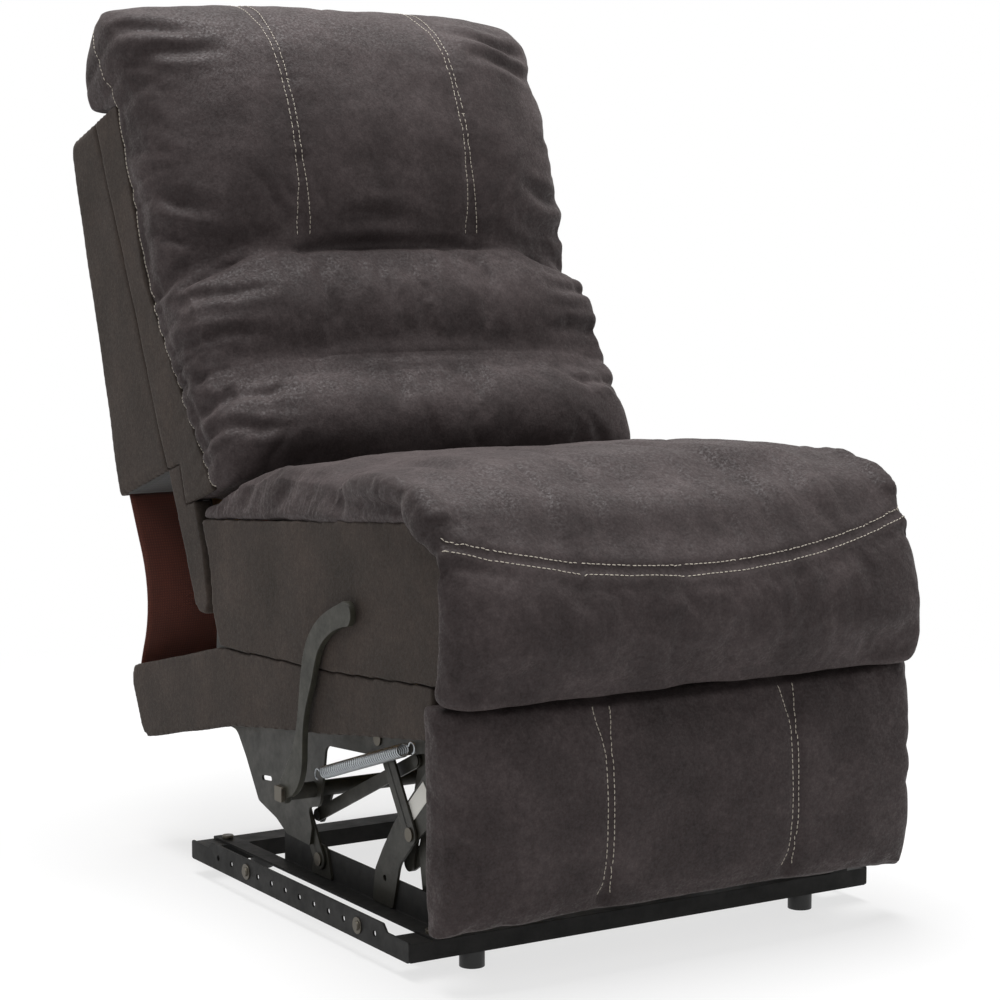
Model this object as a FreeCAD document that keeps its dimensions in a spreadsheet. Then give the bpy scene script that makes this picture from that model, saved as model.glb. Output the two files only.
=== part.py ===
import FreeCAD, Part
import math
import os

# Armless recliner for a modular sofa: a steel base that stands on the floor, a seat that glides
# forward on four swing links, a back that reclines on the seat, and a lever-driven footrest.
#
# Frame: -Y to the front, +Z up, and +X to the right of someone who faces the chair, so that the
# lever is on the -X side. The origin is on the floor, under the middle of the chair.
# Depths in the sheet are measured rearwards from the footrest's front edge, in millimetres.

Vector = FreeCAD.Vector
doc = FreeCAD.newDocument("ArmlessRecliner")
sheet = doc.addObject("Spreadsheet::Sheet", "Sizes")

SIZES = {
    # Widths and the stack of layers from the outside of the seat inwards
    "seat_width": 610,
    "pillow_overhang": 17,
    "band_thickness": 9.8,
    "board_thickness": 18,
    "plate_thickness": 3,
    "plate_gap": 0.6,
    "hanger_gap": 2.5,
    "arm_gap": 0.5,
    "bracket_gap": 2.5,
    # Base
    "glide_height": 18,
    "glide_diameter": 27,
    "glide_spacing": 432,
    "glide_inset": 15,
    "tube_height": 20,
    "tube_depth": 38,
    "tube_wall": 1.6,
    "front_tube_depth": 81,
    "rear_tube_depth": 561,
    "rail_height": 36,
    "rail_sheet": 3,
    "rail_flange": 22,
    "rail_web_length": 375,
    "side_rail_height": 30,
    "side_rail_sheet": 2.5,
    "side_rail_step": 8,
    "side_rail_step_length": 46,
    "side_rail_inset": 4.5,
    "side_rail_hole": 7,
    "side_rail_pitch": 34,
    "stud_radius": 5,
    "stud_length": 3.6,
    "washer_radius": 9,
    "washer_thickness": 1.4,
    "front_stud_depth": 189,
    "rear_stud_depth": 453,
    "bolt_head_radius": 6.5,
    "bolt_head_height": 4,
    # Pivots of the four swing links that carry the seat
    "front_base_pivot_depth": 155,
    "front_base_pivot_height": 132,
    "rear_base_pivot_depth": 360,
    "rear_base_pivot_height": 62,
    "swing_lean": 60,
    "swing_rise": 92,
    "swing_width": 24,
    "pivot_radius": 4,
    "pivot_clearance": 0.3,
    "head_radius": 7.5,
    "head_thickness": 1.9,
    # Back hinge and back frame
    "hinge_depth": 590,
    "hinge_height": 320,
    "hinge_eye": 15,
    "back_tilt": 17.5,
    "frame_lean": 8.5,
    "frame_depth": 38,
    "post_width": 30,
    "post_depth": 22,
    "post_length": 605,
    "post_start": 22,
    "bracket_length": 150,
    "rail_board": 50,
    # Footrest linkage, folded
    "rear_arm_depth": 141.4,
    "rear_arm_height": 243.3,
    "front_arm_depth": 101.2,
    "front_arm_height": 251.9,
    "open_joint_depth": 184.5,
    "open_joint_height": 94.0,
    "knee_depth": 152.7,
    "knee_height": 112.7,
    "foot_joint_depth": 142.2,
    "foot_joint_height": 55.1,
    "bracket_top_depth": 78.8,
    "bracket_top_height": 256.6,
    "bracket_low_depth": 76.0,
    "bracket_low_height": 200.0,
    "arm_width": 20,
    "arm_pin_radius": 3.5,
    "arm_head_radius": 6.5,
    # Lever and torque tube
    "shaft_depth": 364,
    "shaft_height": 141,
    "shaft_radius": 9,
    "crank_length": 40,
    "crank_angle": -60,
    "crank_width": 18,
    "link_width": 15,
    "lever_thickness": 7,
    "lever_lean": 161,
    "lever_rise": 231,
    "nut_size": 17,
    "nut_thickness": 5,
    # Seat box
    "box_gap": 1.5,
    "band_front_low": 252,
    "band_front_top": 307,
    "band_bend": 273,
    "band_bend_low": 221,
    "band_bend_top": 290,
    "band_heel": 501,
    "band_heel_low": 192,
    "band_heel_top": 278,
    "band_tail": 763,
    "band_tail_low": 134,
    "band_end": 797,
    "band_end_top": 221,
    "board_inset": 4,
    "seam_gap": 0.3,
    "front_rail_low": 292,
    "front_rail_height": 38,
    "rear_rail_depth": 748,
    "rear_rail_low": 146,
    "rear_rail_height": 72,
    "gusset_thickness": 10,
    "gusset_front": 25,
    "gusset_shoulder": 66,
    "gusset_front_top": 429,
    "gusset_shoulder_top": 472,
    "gusset_rear_inset": 2,
    "gusset_rear_top": 423,
    "gusset_waist_inset": 19,
    "gusset_waist_height": 378,
    "gusset_foot_inset": 28,
    "gusset_foot_height": 319,
    # Seat upholstery
    "pillow_low": 292.8,
    "pillow_front": 28,
    "pillow_rear": 24,
    "pillow_round": 38,
    "seam_side_height": 453,
    "seam_dip": 43,
    "seam_side_depth": 19,
    "seam_middle_depth": -19,
    "foam_inset": 42,
    "foam_low": 306,
    "seat_crown_height": 515,
    "seat_edge_height": 496,
    "seat_rear": 503,
    "seat_rear_height": 473,
    "seat_heel": 528,
    "seat_heel_height": 436,
    # Back upholstery, in the tilted plane of the back: reach rearwards and height up the slope
    "boundary_reach": 517,
    "boundary_height": 720,
    "cushion_top": 1250,
    "head_seam_side": 862,
    "head_seam_middle": 903,
    "low_seam_side": 738,
    "low_seam_middle": 750,
    "cushion_low": 606,
    "head_side_depth": 74,
    "head_middle_depth": 128,
    "head_seam_front_side": 412,
    "head_seam_front_middle": 384,
    "low_seam_front_side": 388,
    "low_seam_front_middle": 362,
    "low_front_side": 350,
    "low_front_middle": 328,
    "seam_sink": 12,
    "boxing_low_reach": 390,
    "boxing_middle_reach": 494,
    "boxing_middle_height": 880,
    "boxing_top_reach": 506,
    "boxing_thickness": 8,
    "channel_place": 118,
    "channel_sink": 9,
    "channel_half_width": 9,
    "shell_reach": 661,
    "shell_low": 656,
    "shell_top": 1116,
    "shell_wall": 8,
    "shell_round": 16,
    "tail_width": 25.5,
    "tail_depth": 37,
    "cambric_thickness": 2,
    # Footrest
    "pad_low": 58,
    "pad_top": 289,
    "pad_rear": 33,
    "pad_crown": 15,
    "footboard_thickness": 17,
    "footboard_inset": 16,
    "cross_bar": 14,
    # Springs
    "wire_radius": 1.1,
    "coil_radius": 6.4,
    "coil_pitch": 3.6,
    "coil_turns": 46,
    "spring_front_depth": 123,
    "spring_front_height": 232,
    "spring_rear_depth": 343,
    "spring_rear_height": 162,
    "spring_gap": 8.3,
    "zigzag_radius": 9,
    "zigzag_width": 44,
    "zigzag_wire": 1.9,
}

for row, (alias, value) in enumerate(SIZES.items(), start=1):
    sheet.set(f"A{row}", alias)
    sheet.set(f"B{row}", str(value))
    sheet.setAlias(f"B{row}", alias)
doc.recompute()


class Sheet:
    """Reads a size from the sheet by its alias."""

    def __getattr__(self, alias):
        return float(sheet.get(alias))


size = Sheet()
LEFT, RIGHT = -1, 1
SIDE_NAMES = {LEFT: "left", RIGHT: "right"}

# Faces of the layers, as distances from the middle plane
half_width = size.seat_width / 2
band_face = half_width - size.pillow_overhang
board_face = band_face - size.band_thickness
seat_plate_face = board_face - size.board_thickness
swing_face = seat_plate_face - size.plate_thickness - size.plate_gap
upright_face = swing_face - size.plate_thickness - size.plate_gap
rail_face = upright_face - size.plate_thickness
hanger_face = rail_face - size.rail_sheet - size.hanger_gap
arm_face = hanger_face - size.plate_thickness - size.arm_gap
outer_arm_face = arm_face - size.plate_thickness - size.arm_gap
bracket_face = outer_arm_face - size.plate_thickness - size.bracket_gap
side_rail_face = half_width - size.side_rail_inset
tube_half = side_rail_face - size.side_rail_sheet
post_face = seat_plate_face - 2 * size.plate_thickness - size.plate_gap
tube_top = size.glide_height + size.tube_height
box_front = size.pad_rear + size.footboard_thickness + size.box_gap
cushion_half = band_face - size.gusset_thickness - size.seam_gap
pillow_half = band_face - size.boxing_thickness - size.seam_gap
panel_step = 0.2
gusset_rear = size.hinge_depth - size.gusset_rear_inset
gusset_waist = size.hinge_depth - size.gusset_waist_inset
gusset_foot = size.hinge_depth - size.gusset_foot_inset
foam_rear = size.hinge_depth - size.foam_inset

# The middle of the chair's depth, between the seat pillow's crown and the shell's upper corner
tilt = math.radians(size.back_tilt)
shell_corner = (
    (size.shell_top - size.shell_round) * math.sin(tilt)
    + (size.shell_reach - size.shell_round) * math.cos(tilt)
    + size.shell_round
)
middle_depth = (shell_corner - size.pillow_front) / 2

pieces = {}


def keep(name, item):
    """Registers an object as a finished sub-part."""
    item.Label = name
    pieces[name] = item
    return item


def spot(depth, height):
    """A point of the side view as (Y, Z)."""
    return (depth - middle_depth, height)


def back_plane():
    """Placement of the tilted plane of the back: Y is the reach rearwards, Z is up the slope."""
    turn = FreeCAD.Rotation(Vector(1, 0, 0), -size.back_tilt)
    return FreeCAD.Placement(Vector(0, -middle_depth, 0), turn)


def to_back(depth, height):
    """Reach and slope height of a point of the side view in the plane of the back."""
    reach = depth * math.cos(tilt) - height * math.sin(tilt)
    climb = depth * math.sin(tilt) + height * math.cos(tilt)
    return (reach, climb)


def boundary(climb):
    """Reach of the line where the back's cushions and frame meet its shell."""
    slope = math.tan(math.radians(size.frame_lean))
    return size.boundary_reach + (climb - size.boundary_height) * slope


def boxing_line(climb):
    """Reach of the sewn line where the pillows of the back end and the side boxing starts."""
    stations = [
        (size.cushion_low, size.boxing_low_reach),
        (size.boxing_middle_height, size.boxing_middle_reach),
        (size.shell_top, size.boxing_top_reach),
    ]
    return between(stations, climb)


def between(stations, place):
    """Straight lines through stations of (place, value)."""
    for (a, low), (b, high) in zip(stations, stations[1:]):
        if place <= b or (b, high) == stations[-1]:
            return low + (high - low) * (place - a) / (b - a)


def rounded(points, radii):
    """Edges of a closed outline in (Y, Z) with a radius at each corner."""
    count = len(points)
    if not isinstance(radii, (list, tuple)):
        radii = [radii] * count
    starts, ends, corners = [], [], []
    for n in range(count):
        here = Vector(0, *points[n])
        before = (Vector(0, *points[n - 1]) - here).normalize()
        after = (Vector(0, *points[(n + 1) % count]) - here).normalize()
        half = before.getAngle(after) / 2
        if radii[n] <= 0 or abs(half - math.pi / 2) < 1e-6:
            starts.append(here)
            ends.append(here)
            corners.append(None)
            continue
        run = radii[n] / math.tan(half)
        bisector = (before + after).normalize()
        nose = here + bisector * (radii[n] / math.sin(half) - radii[n])
        starts.append(here + before * run)
        ends.append(here + after * run)
        corners.append(nose)
    edges = []
    for n in range(count):
        if corners[n] is not None:
            edges.append(Part.Arc(starts[n], corners[n], ends[n]))
        following = starts[(n + 1) % count]
        if (following - ends[n]).Length > 1e-6:
            edges.append(Part.LineSegment(ends[n], following))
    return edges


def capsule(first, second, radius):
    """Edges of a bar with round ends between two eyes."""
    a, b = Vector(0, *first), Vector(0, *second)
    along = (b - a).normalize()
    across = Vector(0, -along.z, along.y) * radius
    return [
        Part.LineSegment(a + across, b + across),
        Part.Arc(b + across, b + along * radius, b - across),
        Part.LineSegment(b - across, a - across),
        Part.Arc(a - across, a - along * radius, a + across),
    ]


def smooth(points):
    """An edge that runs smoothly through points of the side view."""
    curve = Part.BSplineCurve()
    curve.interpolate(points)
    return curve


def circle(center, radius):
    """A hole in an outline."""
    return Part.Circle(Vector(0, *center), Vector(1, 0, 0), radius)


def sketch_on(body, name, edges):
    """A sketch on the body's own YZ plane that holds the given edges."""
    plane = [f for f in body.Origin.OriginFeatures if f.Role == "YZ_Plane"][0]
    sketch = body.newObject("Sketcher::SketchObject", name)
    sketch.AttachmentSupport = (plane, [""])
    sketch.MapMode = "FlatFace"
    for edge in edges:
        flat = edge.copy()
        # The sketch's own axes are Y and Z of the chair
        turn = FreeCAD.Matrix(0, 1, 0, 0, 0, 0, 1, 0, 1, 0, 0, 0, 0, 0, 0, 1)
        flat.transform(turn)
        sketch.addGeometry(flat, False)
    return sketch


def side_base(side, face, thickness):
    """X of the lower face of a layer whose outer face is at the given distance."""
    return -face if side == LEFT else face - thickness


def plate(name, side, face, thickness, outlines, base=None):
    """A flat piece: one pad for each outline, all of one thickness from the sheet."""
    body = doc.addObject("PartDesign::Body", name)
    for n, edges in enumerate(outlines):
        sketch = sketch_on(body, f"{name}_outline_{n}", edges)
        pad = body.newObject("PartDesign::Pad", f"{name}_pad_{n}")
        pad.Profile = sketch
        pad.setExpression("Length", f"Sizes.{thickness}")
        sketch.Visibility = False
    place = base or FreeCAD.Placement()
    shift = Vector(side_base(side, face, getattr(size, thickness)), 0, 0)
    body.Placement = FreeCAD.Placement(place.Base + shift, place.Rotation)
    return body


def arm(name, side, face, segments, width, hole):
    """A link made of bars between eyes, with a hole in each eye."""
    outlines = []
    for first, second in segments:
        edges = capsule(first, second, width / 2)
        edges += [circle(first, hole), circle(second, hole)]
        outlines.append(edges)
    return plate(name, side, face, "plate_thickness", outlines)


def rod(name, side, at, outer, inner, radius):
    """A round bar across the chair, between two distances from the middle plane."""
    item = doc.addObject("Part::Cylinder", name)
    item.Radius = radius
    item.Height = outer - inner
    start = -outer if side == LEFT else inner
    turn = FreeCAD.Rotation(Vector(0, 1, 0), 90)
    item.Placement = FreeCAD.Placement(Vector(start, *at), turn)
    return item


def rivet(name, side, at, outer, inner, radius, head, heads="both"):
    """A shouldered rivet through layers between two distances, with heads beyond them."""
    parts = [rod(name + "_shank", side, at, outer, inner, radius)]
    if heads in ("both", "outer"):
        top = outer + size.head_thickness
        parts.append(rod(name + "_outer_head", side, at, top, outer, head))
    if heads in ("both", "inner"):
        end = inner - size.head_thickness
        parts.append(rod(name + "_inner_head", side, at, inner, end, head))
    return fuse(name, parts)


def fuse(name, parts):
    item = doc.addObject("Part::MultiFuse", name)
    item.Shapes = parts
    return item


def cut(name, body, tool):
    item = doc.addObject("Part::Cut", name)
    item.Base = body
    item.Tool = tool
    return item


def group(name, parts):
    """Several alike solids kept as one sub-part."""
    item = doc.addObject("Part::Compound", name)
    item.Links = parts
    return item


def box(name, corner, extent, placement=None):
    """A rectangular bar; each extent is a number or an expression on the sheet."""
    item = doc.addObject("Part::Box", name)
    for prop, value in zip(("Length", "Width", "Height"), extent):
        if isinstance(value, str):
            item.setExpression(prop, value)
        else:
            setattr(item, prop, value)
    place = FreeCAD.Placement(Vector(*corner), FreeCAD.Rotation())
    item.Placement = placement.multiply(place) if placement else place
    return item


def ring(x, points, bulges):
    """A closed wire at one X; each edge bows outwards by its bulge."""
    corners = [Vector(x, *p) for p in points]
    edges = []
    for n, bulge in enumerate(bulges):
        a, b = corners[n], corners[(n + 1) % len(corners)]
        if abs(bulge) < 1e-6:
            edges.append(Part.LineSegment(a, b).toShape())
            continue
        along = (b - a).normalize()
        out = Vector(0, -along.z, along.y) * bulge
        edges.append(Part.Arc(a, (a + b) / 2 + out, b).toShape())
    return Part.Wire(edges)


def loft(name, rings, placement=None):
    """A soft form: a ruled skin through closed wires, from the left to the right."""
    item = doc.addObject("Part::Feature", name)
    item.Shape = Part.makeLoft(rings, True, True)
    if placement:
        item.Placement = placement
    return item


def share(x, half):
    """How far a place across the chair is from its edge: 0 at the edge, 1 in the middle."""
    return max(0.0, 1 - (x / half) ** 2)


def build_base():
    """Two cross tubes on glides, two inner rails, two stamped side rails and the uprights."""
    for name, depth in (("front", size.front_tube_depth), ("rear", size.rear_tube_depth)):
        y = depth - middle_depth
        outer = box(
            f"{name}_tube_outside",
            (-tube_half, y, size.glide_height),
            (2 * tube_half, "Sizes.tube_depth", "Sizes.tube_height"),
        )
        inner = box(
            f"{name}_tube_inside",
            (-tube_half - 1, y + size.tube_wall, size.glide_height + size.tube_wall),
            (
                2 * tube_half + 2,
                "Sizes.tube_depth - 2 * Sizes.tube_wall",
                "Sizes.tube_height - 2 * Sizes.tube_wall",
            ),
        )
        keep(f"{name}_cross_tube", cut(f"{name}_cross_tube", outer, inner))

    glides = []
    rear_glide = size.rear_tube_depth + size.tube_depth - size.glide_inset
    for depth in (size.front_tube_depth + size.glide_inset, rear_glide):
        for side in (LEFT, RIGHT):
            glide = doc.addObject("Part::Cylinder", f"glide_{len(glides)}")
            glide.setExpression("Radius", "Sizes.glide_diameter / 2")
            glide.setExpression("Height", "Sizes.glide_height")
            x = side * size.glide_spacing / 2
            glide.Placement.Base = Vector(x, depth - middle_depth, 0)
            glides.append(glide)
    keep("floor_glides", group("floor_glides", glides))

    start = size.front_tube_depth
    length = size.rear_tube_depth + size.tube_depth - start
    bolts = []
    for side in (LEFT, RIGHT):
        name = SIDE_NAMES[side]
        web_x = side_base(side, rail_face, size.rail_sheet)
        web = box(
            f"{name}_rail_web",
            (web_x, start - middle_depth, tube_top),
            ("Sizes.rail_sheet", "Sizes.rail_web_length", "Sizes.rail_height"),
        )
        flange_x = -rail_face - size.rail_flange if side == LEFT else rail_face
        flange = box(
            f"{name}_rail_flange",
            (flange_x, start - middle_depth, tube_top),
            ("Sizes.rail_flange", length, "Sizes.rail_sheet"),
        )
        keep(f"{name}_base_rail", fuse(f"{name}_base_rail", [web, flange]))
        for depth in (start + size.tube_depth / 2, start + length - size.tube_depth / 2):
            bolt = doc.addObject("Part::Cylinder", f"{name}_bolt_{len(bolts)}")
            bolt.setExpression("Radius", "Sizes.bolt_head_radius")
            bolt.setExpression("Height", "Sizes.bolt_head_height")
            x = side * (rail_face + size.rail_flange / 2 + size.washer_thickness)
            bolt.Placement.Base = Vector(x, depth - middle_depth, tube_top + size.rail_sheet)
            bolts.append(bolt)
    keep("base_bolts", group("base_bolts", bolts))

    build_side_rails(start, length)
    build_uprights()


def build_side_rails(start, length):
    """Stamped strips on the ends of the tubes, with a row of holes and two studs each."""
    low, high = size.glide_height, size.glide_height + size.side_rail_height
    step, run = size.side_rail_step, size.side_rail_step_length
    shape = [
        spot(start, low),
        spot(start + length, low),
        spot(start + length, high - step),
        spot(start + length - run, high - step),
        spot(start + length - run - step, high),
        spot(start + run + step, high),
        spot(start + run, high - step),
        spot(start, high - step),
    ]
    middle = low + size.side_rail_height / 2
    studs = []
    for side in (LEFT, RIGHT):
        name = SIDE_NAMES[side]
        edges = rounded(shape, 3)
        depth = start + size.tube_depth + size.side_rail_pitch
        while depth < start + length - size.tube_depth - size.side_rail_pitch / 2:
            near = min(abs(depth - size.front_stud_depth), abs(depth - size.rear_stud_depth))
            if near > size.washer_radius + size.side_rail_hole / 2:
                edges.append(circle(spot(depth, middle), size.side_rail_hole / 2))
            depth += size.side_rail_pitch
        rail = plate(f"{name}_side_rail", side, side_rail_face, "side_rail_sheet", [edges])
        keep(f"{name}_side_rail", rail)
        for depth in (size.front_stud_depth, size.rear_stud_depth):
            at = spot(depth, middle)
            tag = f"{name}_stud_{int(depth)}"
            washer_end = side_rail_face + size.washer_thickness
            stud_end = side_rail_face + size.stud_length
            washer = rod(tag + "_washer", side, at, washer_end, side_rail_face, size.washer_radius)
            stud = rod(tag + "_stem", side, at, stud_end, side_rail_face, size.stud_radius)
            studs.append(fuse(tag, [washer, stud]))
    keep("side_rail_studs", group("side_rail_studs", studs))


def build_uprights():
    """Plates riveted to the base rails that carry the lower pivots of the swing links."""
    front_pivot = spot(size.front_base_pivot_depth, size.front_base_pivot_height)
    rear_pivot = spot(size.rear_base_pivot_depth, size.rear_base_pivot_height)
    hole = size.pivot_radius + size.pivot_clearance
    foot = tube_top + size.rail_sheet + 1
    y, z = front_pivot
    front_shape = [
        (y + 43, foot),
        (y + 87, foot),
        (y + 81, z - 54),
        (y + 64, z - 28),
        (y + 39, z + 5),
        (y - 16, z + 59),
        (y - 45, z + 89),
        (y - 76, z + 97),
        (y - 76, z + 55),
        (y - 52, z + 29),
        (y + 1, z - 13),
        (y + 28, z - 39),
    ]
    radii = [4, 4, 20, 30, 40, 60, 7, 7, 14, 30, 40, 30]
    label_holes = [circle((y + 5, z + 30), 4), circle((y + 60, z - 60), 3.5), circle((y - 56, z + 76), 3.5)]
    rear = []
    pins = []
    for side in (LEFT, RIGHT):
        name = SIDE_NAMES[side]
        edges = rounded(front_shape, radii) + [circle(front_pivot, hole)] + label_holes
        upright = plate(f"{name}_front_upright", side, upright_face, "plate_thickness", [edges])
        keep(f"{name}_front_upright", upright)
        reach = size.swing_width
        ear = [
            (rear_pivot[0] - reach, foot),
            (rear_pivot[0] + reach, foot),
            (rear_pivot[0] + reach / 2, rear_pivot[1] + 16),
            (rear_pivot[0] - reach / 2, rear_pivot[1] + 16),
        ]
        edges = rounded(ear, [3, 3, 9, 9]) + [circle(rear_pivot, hole)]
        rear.append(plate(f"{name}_rear_ear", side, upright_face, "plate_thickness", [edges]))
        outer, inner = swing_face, rail_face
        for tag, at in (("front", front_pivot), ("rear", rear_pivot)):
            head = size.head_radius
            if tag == "rear":
                pin_name = f"{name}_rear_base_pin"
                pins.append(rivet(pin_name, side, at, outer, inner, size.pivot_radius, head, "outer"))
            else:
                pin_name = f"{name}_front_base_pin"
                pins.append(rivet(pin_name, side, at, outer, inner, size.pivot_radius, head))
    keep("rear_uprights", group("rear_uprights", rear))
    keep("base_pivot_pins", group("base_pivot_pins", pins))


def build_swing_links():
    """Four equal links that let the seat glide forwards and up without tipping."""
    for tag in ("front", "rear"):
        low = spot(getattr(size, f"{tag}_base_pivot_depth"), getattr(size, f"{tag}_base_pivot_height"))
        high = (low[0] + size.swing_lean, low[1] + size.swing_rise)
        hole = size.pivot_radius + size.pivot_clearance
        links = []
        for side in (LEFT, RIGHT):
            name = f"{SIDE_NAMES[side]}_{tag}_swing"
            links.append(arm(name, side, swing_face, [(low, high)], size.swing_width, hole))
        keep(f"{tag}_swing_links", group(f"{tag}_swing_links", links))


def swing_tops():
    """Upper pivots of the swing links."""
    tops = []
    for tag in ("front", "rear"):
        depth = getattr(size, f"{tag}_base_pivot_depth") + size.swing_lean
        height = getattr(size, f"{tag}_base_pivot_height") + size.swing_rise
        tops.append(spot(depth, height))
    return tops


def box_line_low(depth):
    """Height of the side band's lower edge."""
    stations = [
        (box_front, size.band_front_low),
        (size.band_bend, size.band_bend_low),
        (size.band_heel, size.band_heel_low),
        (size.band_tail, size.band_tail_low),
    ]
    return between(stations, depth)


def box_line_top(depth):
    """Height of the side band's upper edge."""
    stations = [
        (box_front, size.band_front_top),
        (size.band_bend, size.band_bend_top),
        (gusset_foot - 20, size.band_heel_top),
        (size.band_end, size.band_end_top),
    ]
    return between(stations, depth)


def build_seat_box():
    """Wooden sides and cross rails, the steel seat plates and the footrest's hangers."""
    inset = size.board_inset
    band = [
        spot(box_front, size.band_front_low),
        spot(size.band_bend, size.band_bend_low),
        spot(size.band_heel, size.band_heel_low),
        spot(size.band_tail, size.band_tail_low),
        spot(size.band_end, size.band_end_top - 20),
        spot(size.band_end - 6, size.band_end_top),
        spot(gusset_foot - 20, size.band_heel_top),
        spot(size.band_bend, size.band_bend_top),
        spot(box_front, size.band_front_top),
    ]
    board = [
        spot(box_front + inset, size.band_front_low + inset),
        spot(size.band_bend, size.band_bend_low + inset),
        spot(size.band_heel, size.band_heel_low + inset),
        spot(size.band_tail - inset, size.band_tail_low + inset),
        spot(size.band_end - inset, size.band_end_top - 20),
        spot(size.band_end - 6 - inset, size.band_end_top - inset),
        spot(gusset_foot - 20, size.band_heel_top - inset),
        spot(size.band_bend, size.band_bend_top - inset),
        spot(box_front + inset, size.band_front_top - inset),
    ]
    band_radii = [8, 60, 60, 24, 14, 12, 40, 60, 8]
    board_radii = [6, 60, 60, 20, 12, 10, 40, 60, 6]
    for side in (LEFT, RIGHT):
        name = SIDE_NAMES[side]
        cover = plate(f"{name}_side_band", side, band_face, "band_thickness", [rounded(band, band_radii)])
        keep(f"{name}_side_band", cover)
        wood = plate(f"{name}_side_board", side, board_face, "board_thickness", [rounded(board, board_radii)])
        keep(f"{name}_side_board", wood)
        keep(f"{name}_seat_plate", seat_plate(name, side))
        keep(f"{name}_seat_gusset", gusset(name, side))
    rail_half = board_face - size.seam_gap
    front = box(
        "front_rail",
        (-rail_half, size.pillow_rear + size.seam_gap - middle_depth, size.front_rail_low + 16),
        (2 * rail_half, "Sizes.board_thickness", "Sizes.front_rail_height"),
    )
    keep("front_rail", front)
    rear = box(
        "rear_rail",
        (-seat_plate_face, size.rear_rail_depth - middle_depth, size.rear_rail_low),
        (2 * seat_plate_face, "Sizes.board_thickness", "Sizes.rear_rail_height"),
    )
    keep("rear_rail", rear)


def seat_plate(name, side):
    """Outer seat plate: a strip along the board, a hanger lobe and the back's hinge ear."""
    hinge = spot(size.hinge_depth, size.hinge_height)
    shaft = spot(size.shaft_depth, size.shaft_height)
    hole = size.pivot_radius + size.pivot_clearance
    y, z = shaft
    strip = [
        spot(62, box_line_low(62) - 12),
        spot(size.front_base_pivot_depth + size.swing_lean - 16, 206),
        spot(size.shaft_depth - 30, 196),
        (y - 22, z + 12),
        (y - 15, z - 17),
        (y + 13, z - 23),
        (y + 5, z - 44),
        (y + 10, z - 66),
        (y + 66, z - 64),
        (y + 92, z - 51),
        (y + 137, z - 39),
        (y + 169, z + 7),
        (y + 193, z + 35),
        spot(size.hinge_depth + 26, box_line_low(size.hinge_depth) + 6),
        (hinge[0] + size.hinge_eye, hinge[1]),
        (hinge[0] + size.hinge_eye, hinge[1] + size.hinge_eye),
        (hinge[0] - size.hinge_eye, hinge[1] + size.hinge_eye),
        (hinge[0] - size.hinge_eye, hinge[1]),
        spot(size.hinge_depth - 30, box_line_low(size.hinge_depth) + 50),
        spot(480, box_line_low(480) + 34),
        spot(size.band_bend, box_line_low(size.band_bend) + 36),
        spot(62, box_line_low(62) + 34),
    ]
    radii = [6, 30, 12, 10, 12, 6, 12, 4, 4, 12, 10, 40, 20, 30, 0, 14.9, 14.9, 0, 20, 40, 60, 6]
    edges = rounded(strip, radii)
    for at in swing_tops() + [hinge]:
        edges.append(circle(at, hole))
    edges.append(circle(shaft, size.shaft_radius + size.pivot_clearance))
    edges += capsule((y + 106, z - 8), (y + 125, z - 10), 3)
    return plate(f"{name}_seat_plate", side, seat_plate_face, "plate_thickness", [edges])


def gusset(name, side):
    """Upholstered side panel of the seat, from the band up to the cushion's seam."""
    clear = size.seam_gap
    shape = [
        spot(size.gusset_front, box_line_top(box_front) + clear),
        spot(box_front, box_line_top(box_front) + clear),
        spot(size.band_bend, size.band_bend_top + clear),
        spot(gusset_foot - 20, size.band_heel_top + clear),
        spot(gusset_foot, size.gusset_foot_height),
        spot(gusset_waist, size.gusset_waist_height),
        spot(gusset_rear, size.gusset_rear_top),
        spot(size.gusset_shoulder, size.gusset_shoulder_top),
        spot(size.gusset_front, size.gusset_front_top),
    ]
    edges = rounded(shape, [4, 0, 60, 14, 60, 80, 6, 12, 20])
    return plate(f"{name}_seat_gusset", side, band_face, "gusset_thickness", [edges])


def build_hangers():
    """Inner plates of the seat that carry the footrest arms, with a flange to the seat plate."""
    rear = spot(size.rear_arm_depth, size.rear_arm_height)
    front = spot(size.front_arm_depth, size.front_arm_height)
    hole = size.arm_pin_radius + size.pivot_clearance
    top = front[1] + 16
    shape = [
        (front[0] - 14, front[1] - 2),
        (front[0] - 4, front[1] - 13),
        (rear[0] - 6, rear[1] - 13),
        (rear[0] + 9, rear[1] - 10),
        (rear[0] + 26, top - 8),
        (rear[0] + 26, top),
        (front[0] - 14, top),
    ]
    hangers = []
    for side in (LEFT, RIGHT):
        name = SIDE_NAMES[side]
        edges = rounded(shape, [6, 8, 10, 8, 6, 0, 0])
        edges += [circle(rear, hole), circle(front, hole)]
        web = plate(f"{name}_hanger_web", side, hanger_face, "plate_thickness", [edges])
        inner = hanger_face - size.plate_thickness
        outer = seat_plate_face - size.plate_thickness
        x = -outer if side == LEFT else inner
        flange = box(
            f"{name}_hanger_flange",
            (x, front[0] - 14, top - size.plate_thickness),
            (outer - inner, rear[0] - front[0] + 40, "Sizes.plate_thickness"),
        )
        hangers.append(fuse(f"{name}_hanger", [web, flange]))
    keep("footrest_hangers", group("footrest_hangers", hangers))


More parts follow.
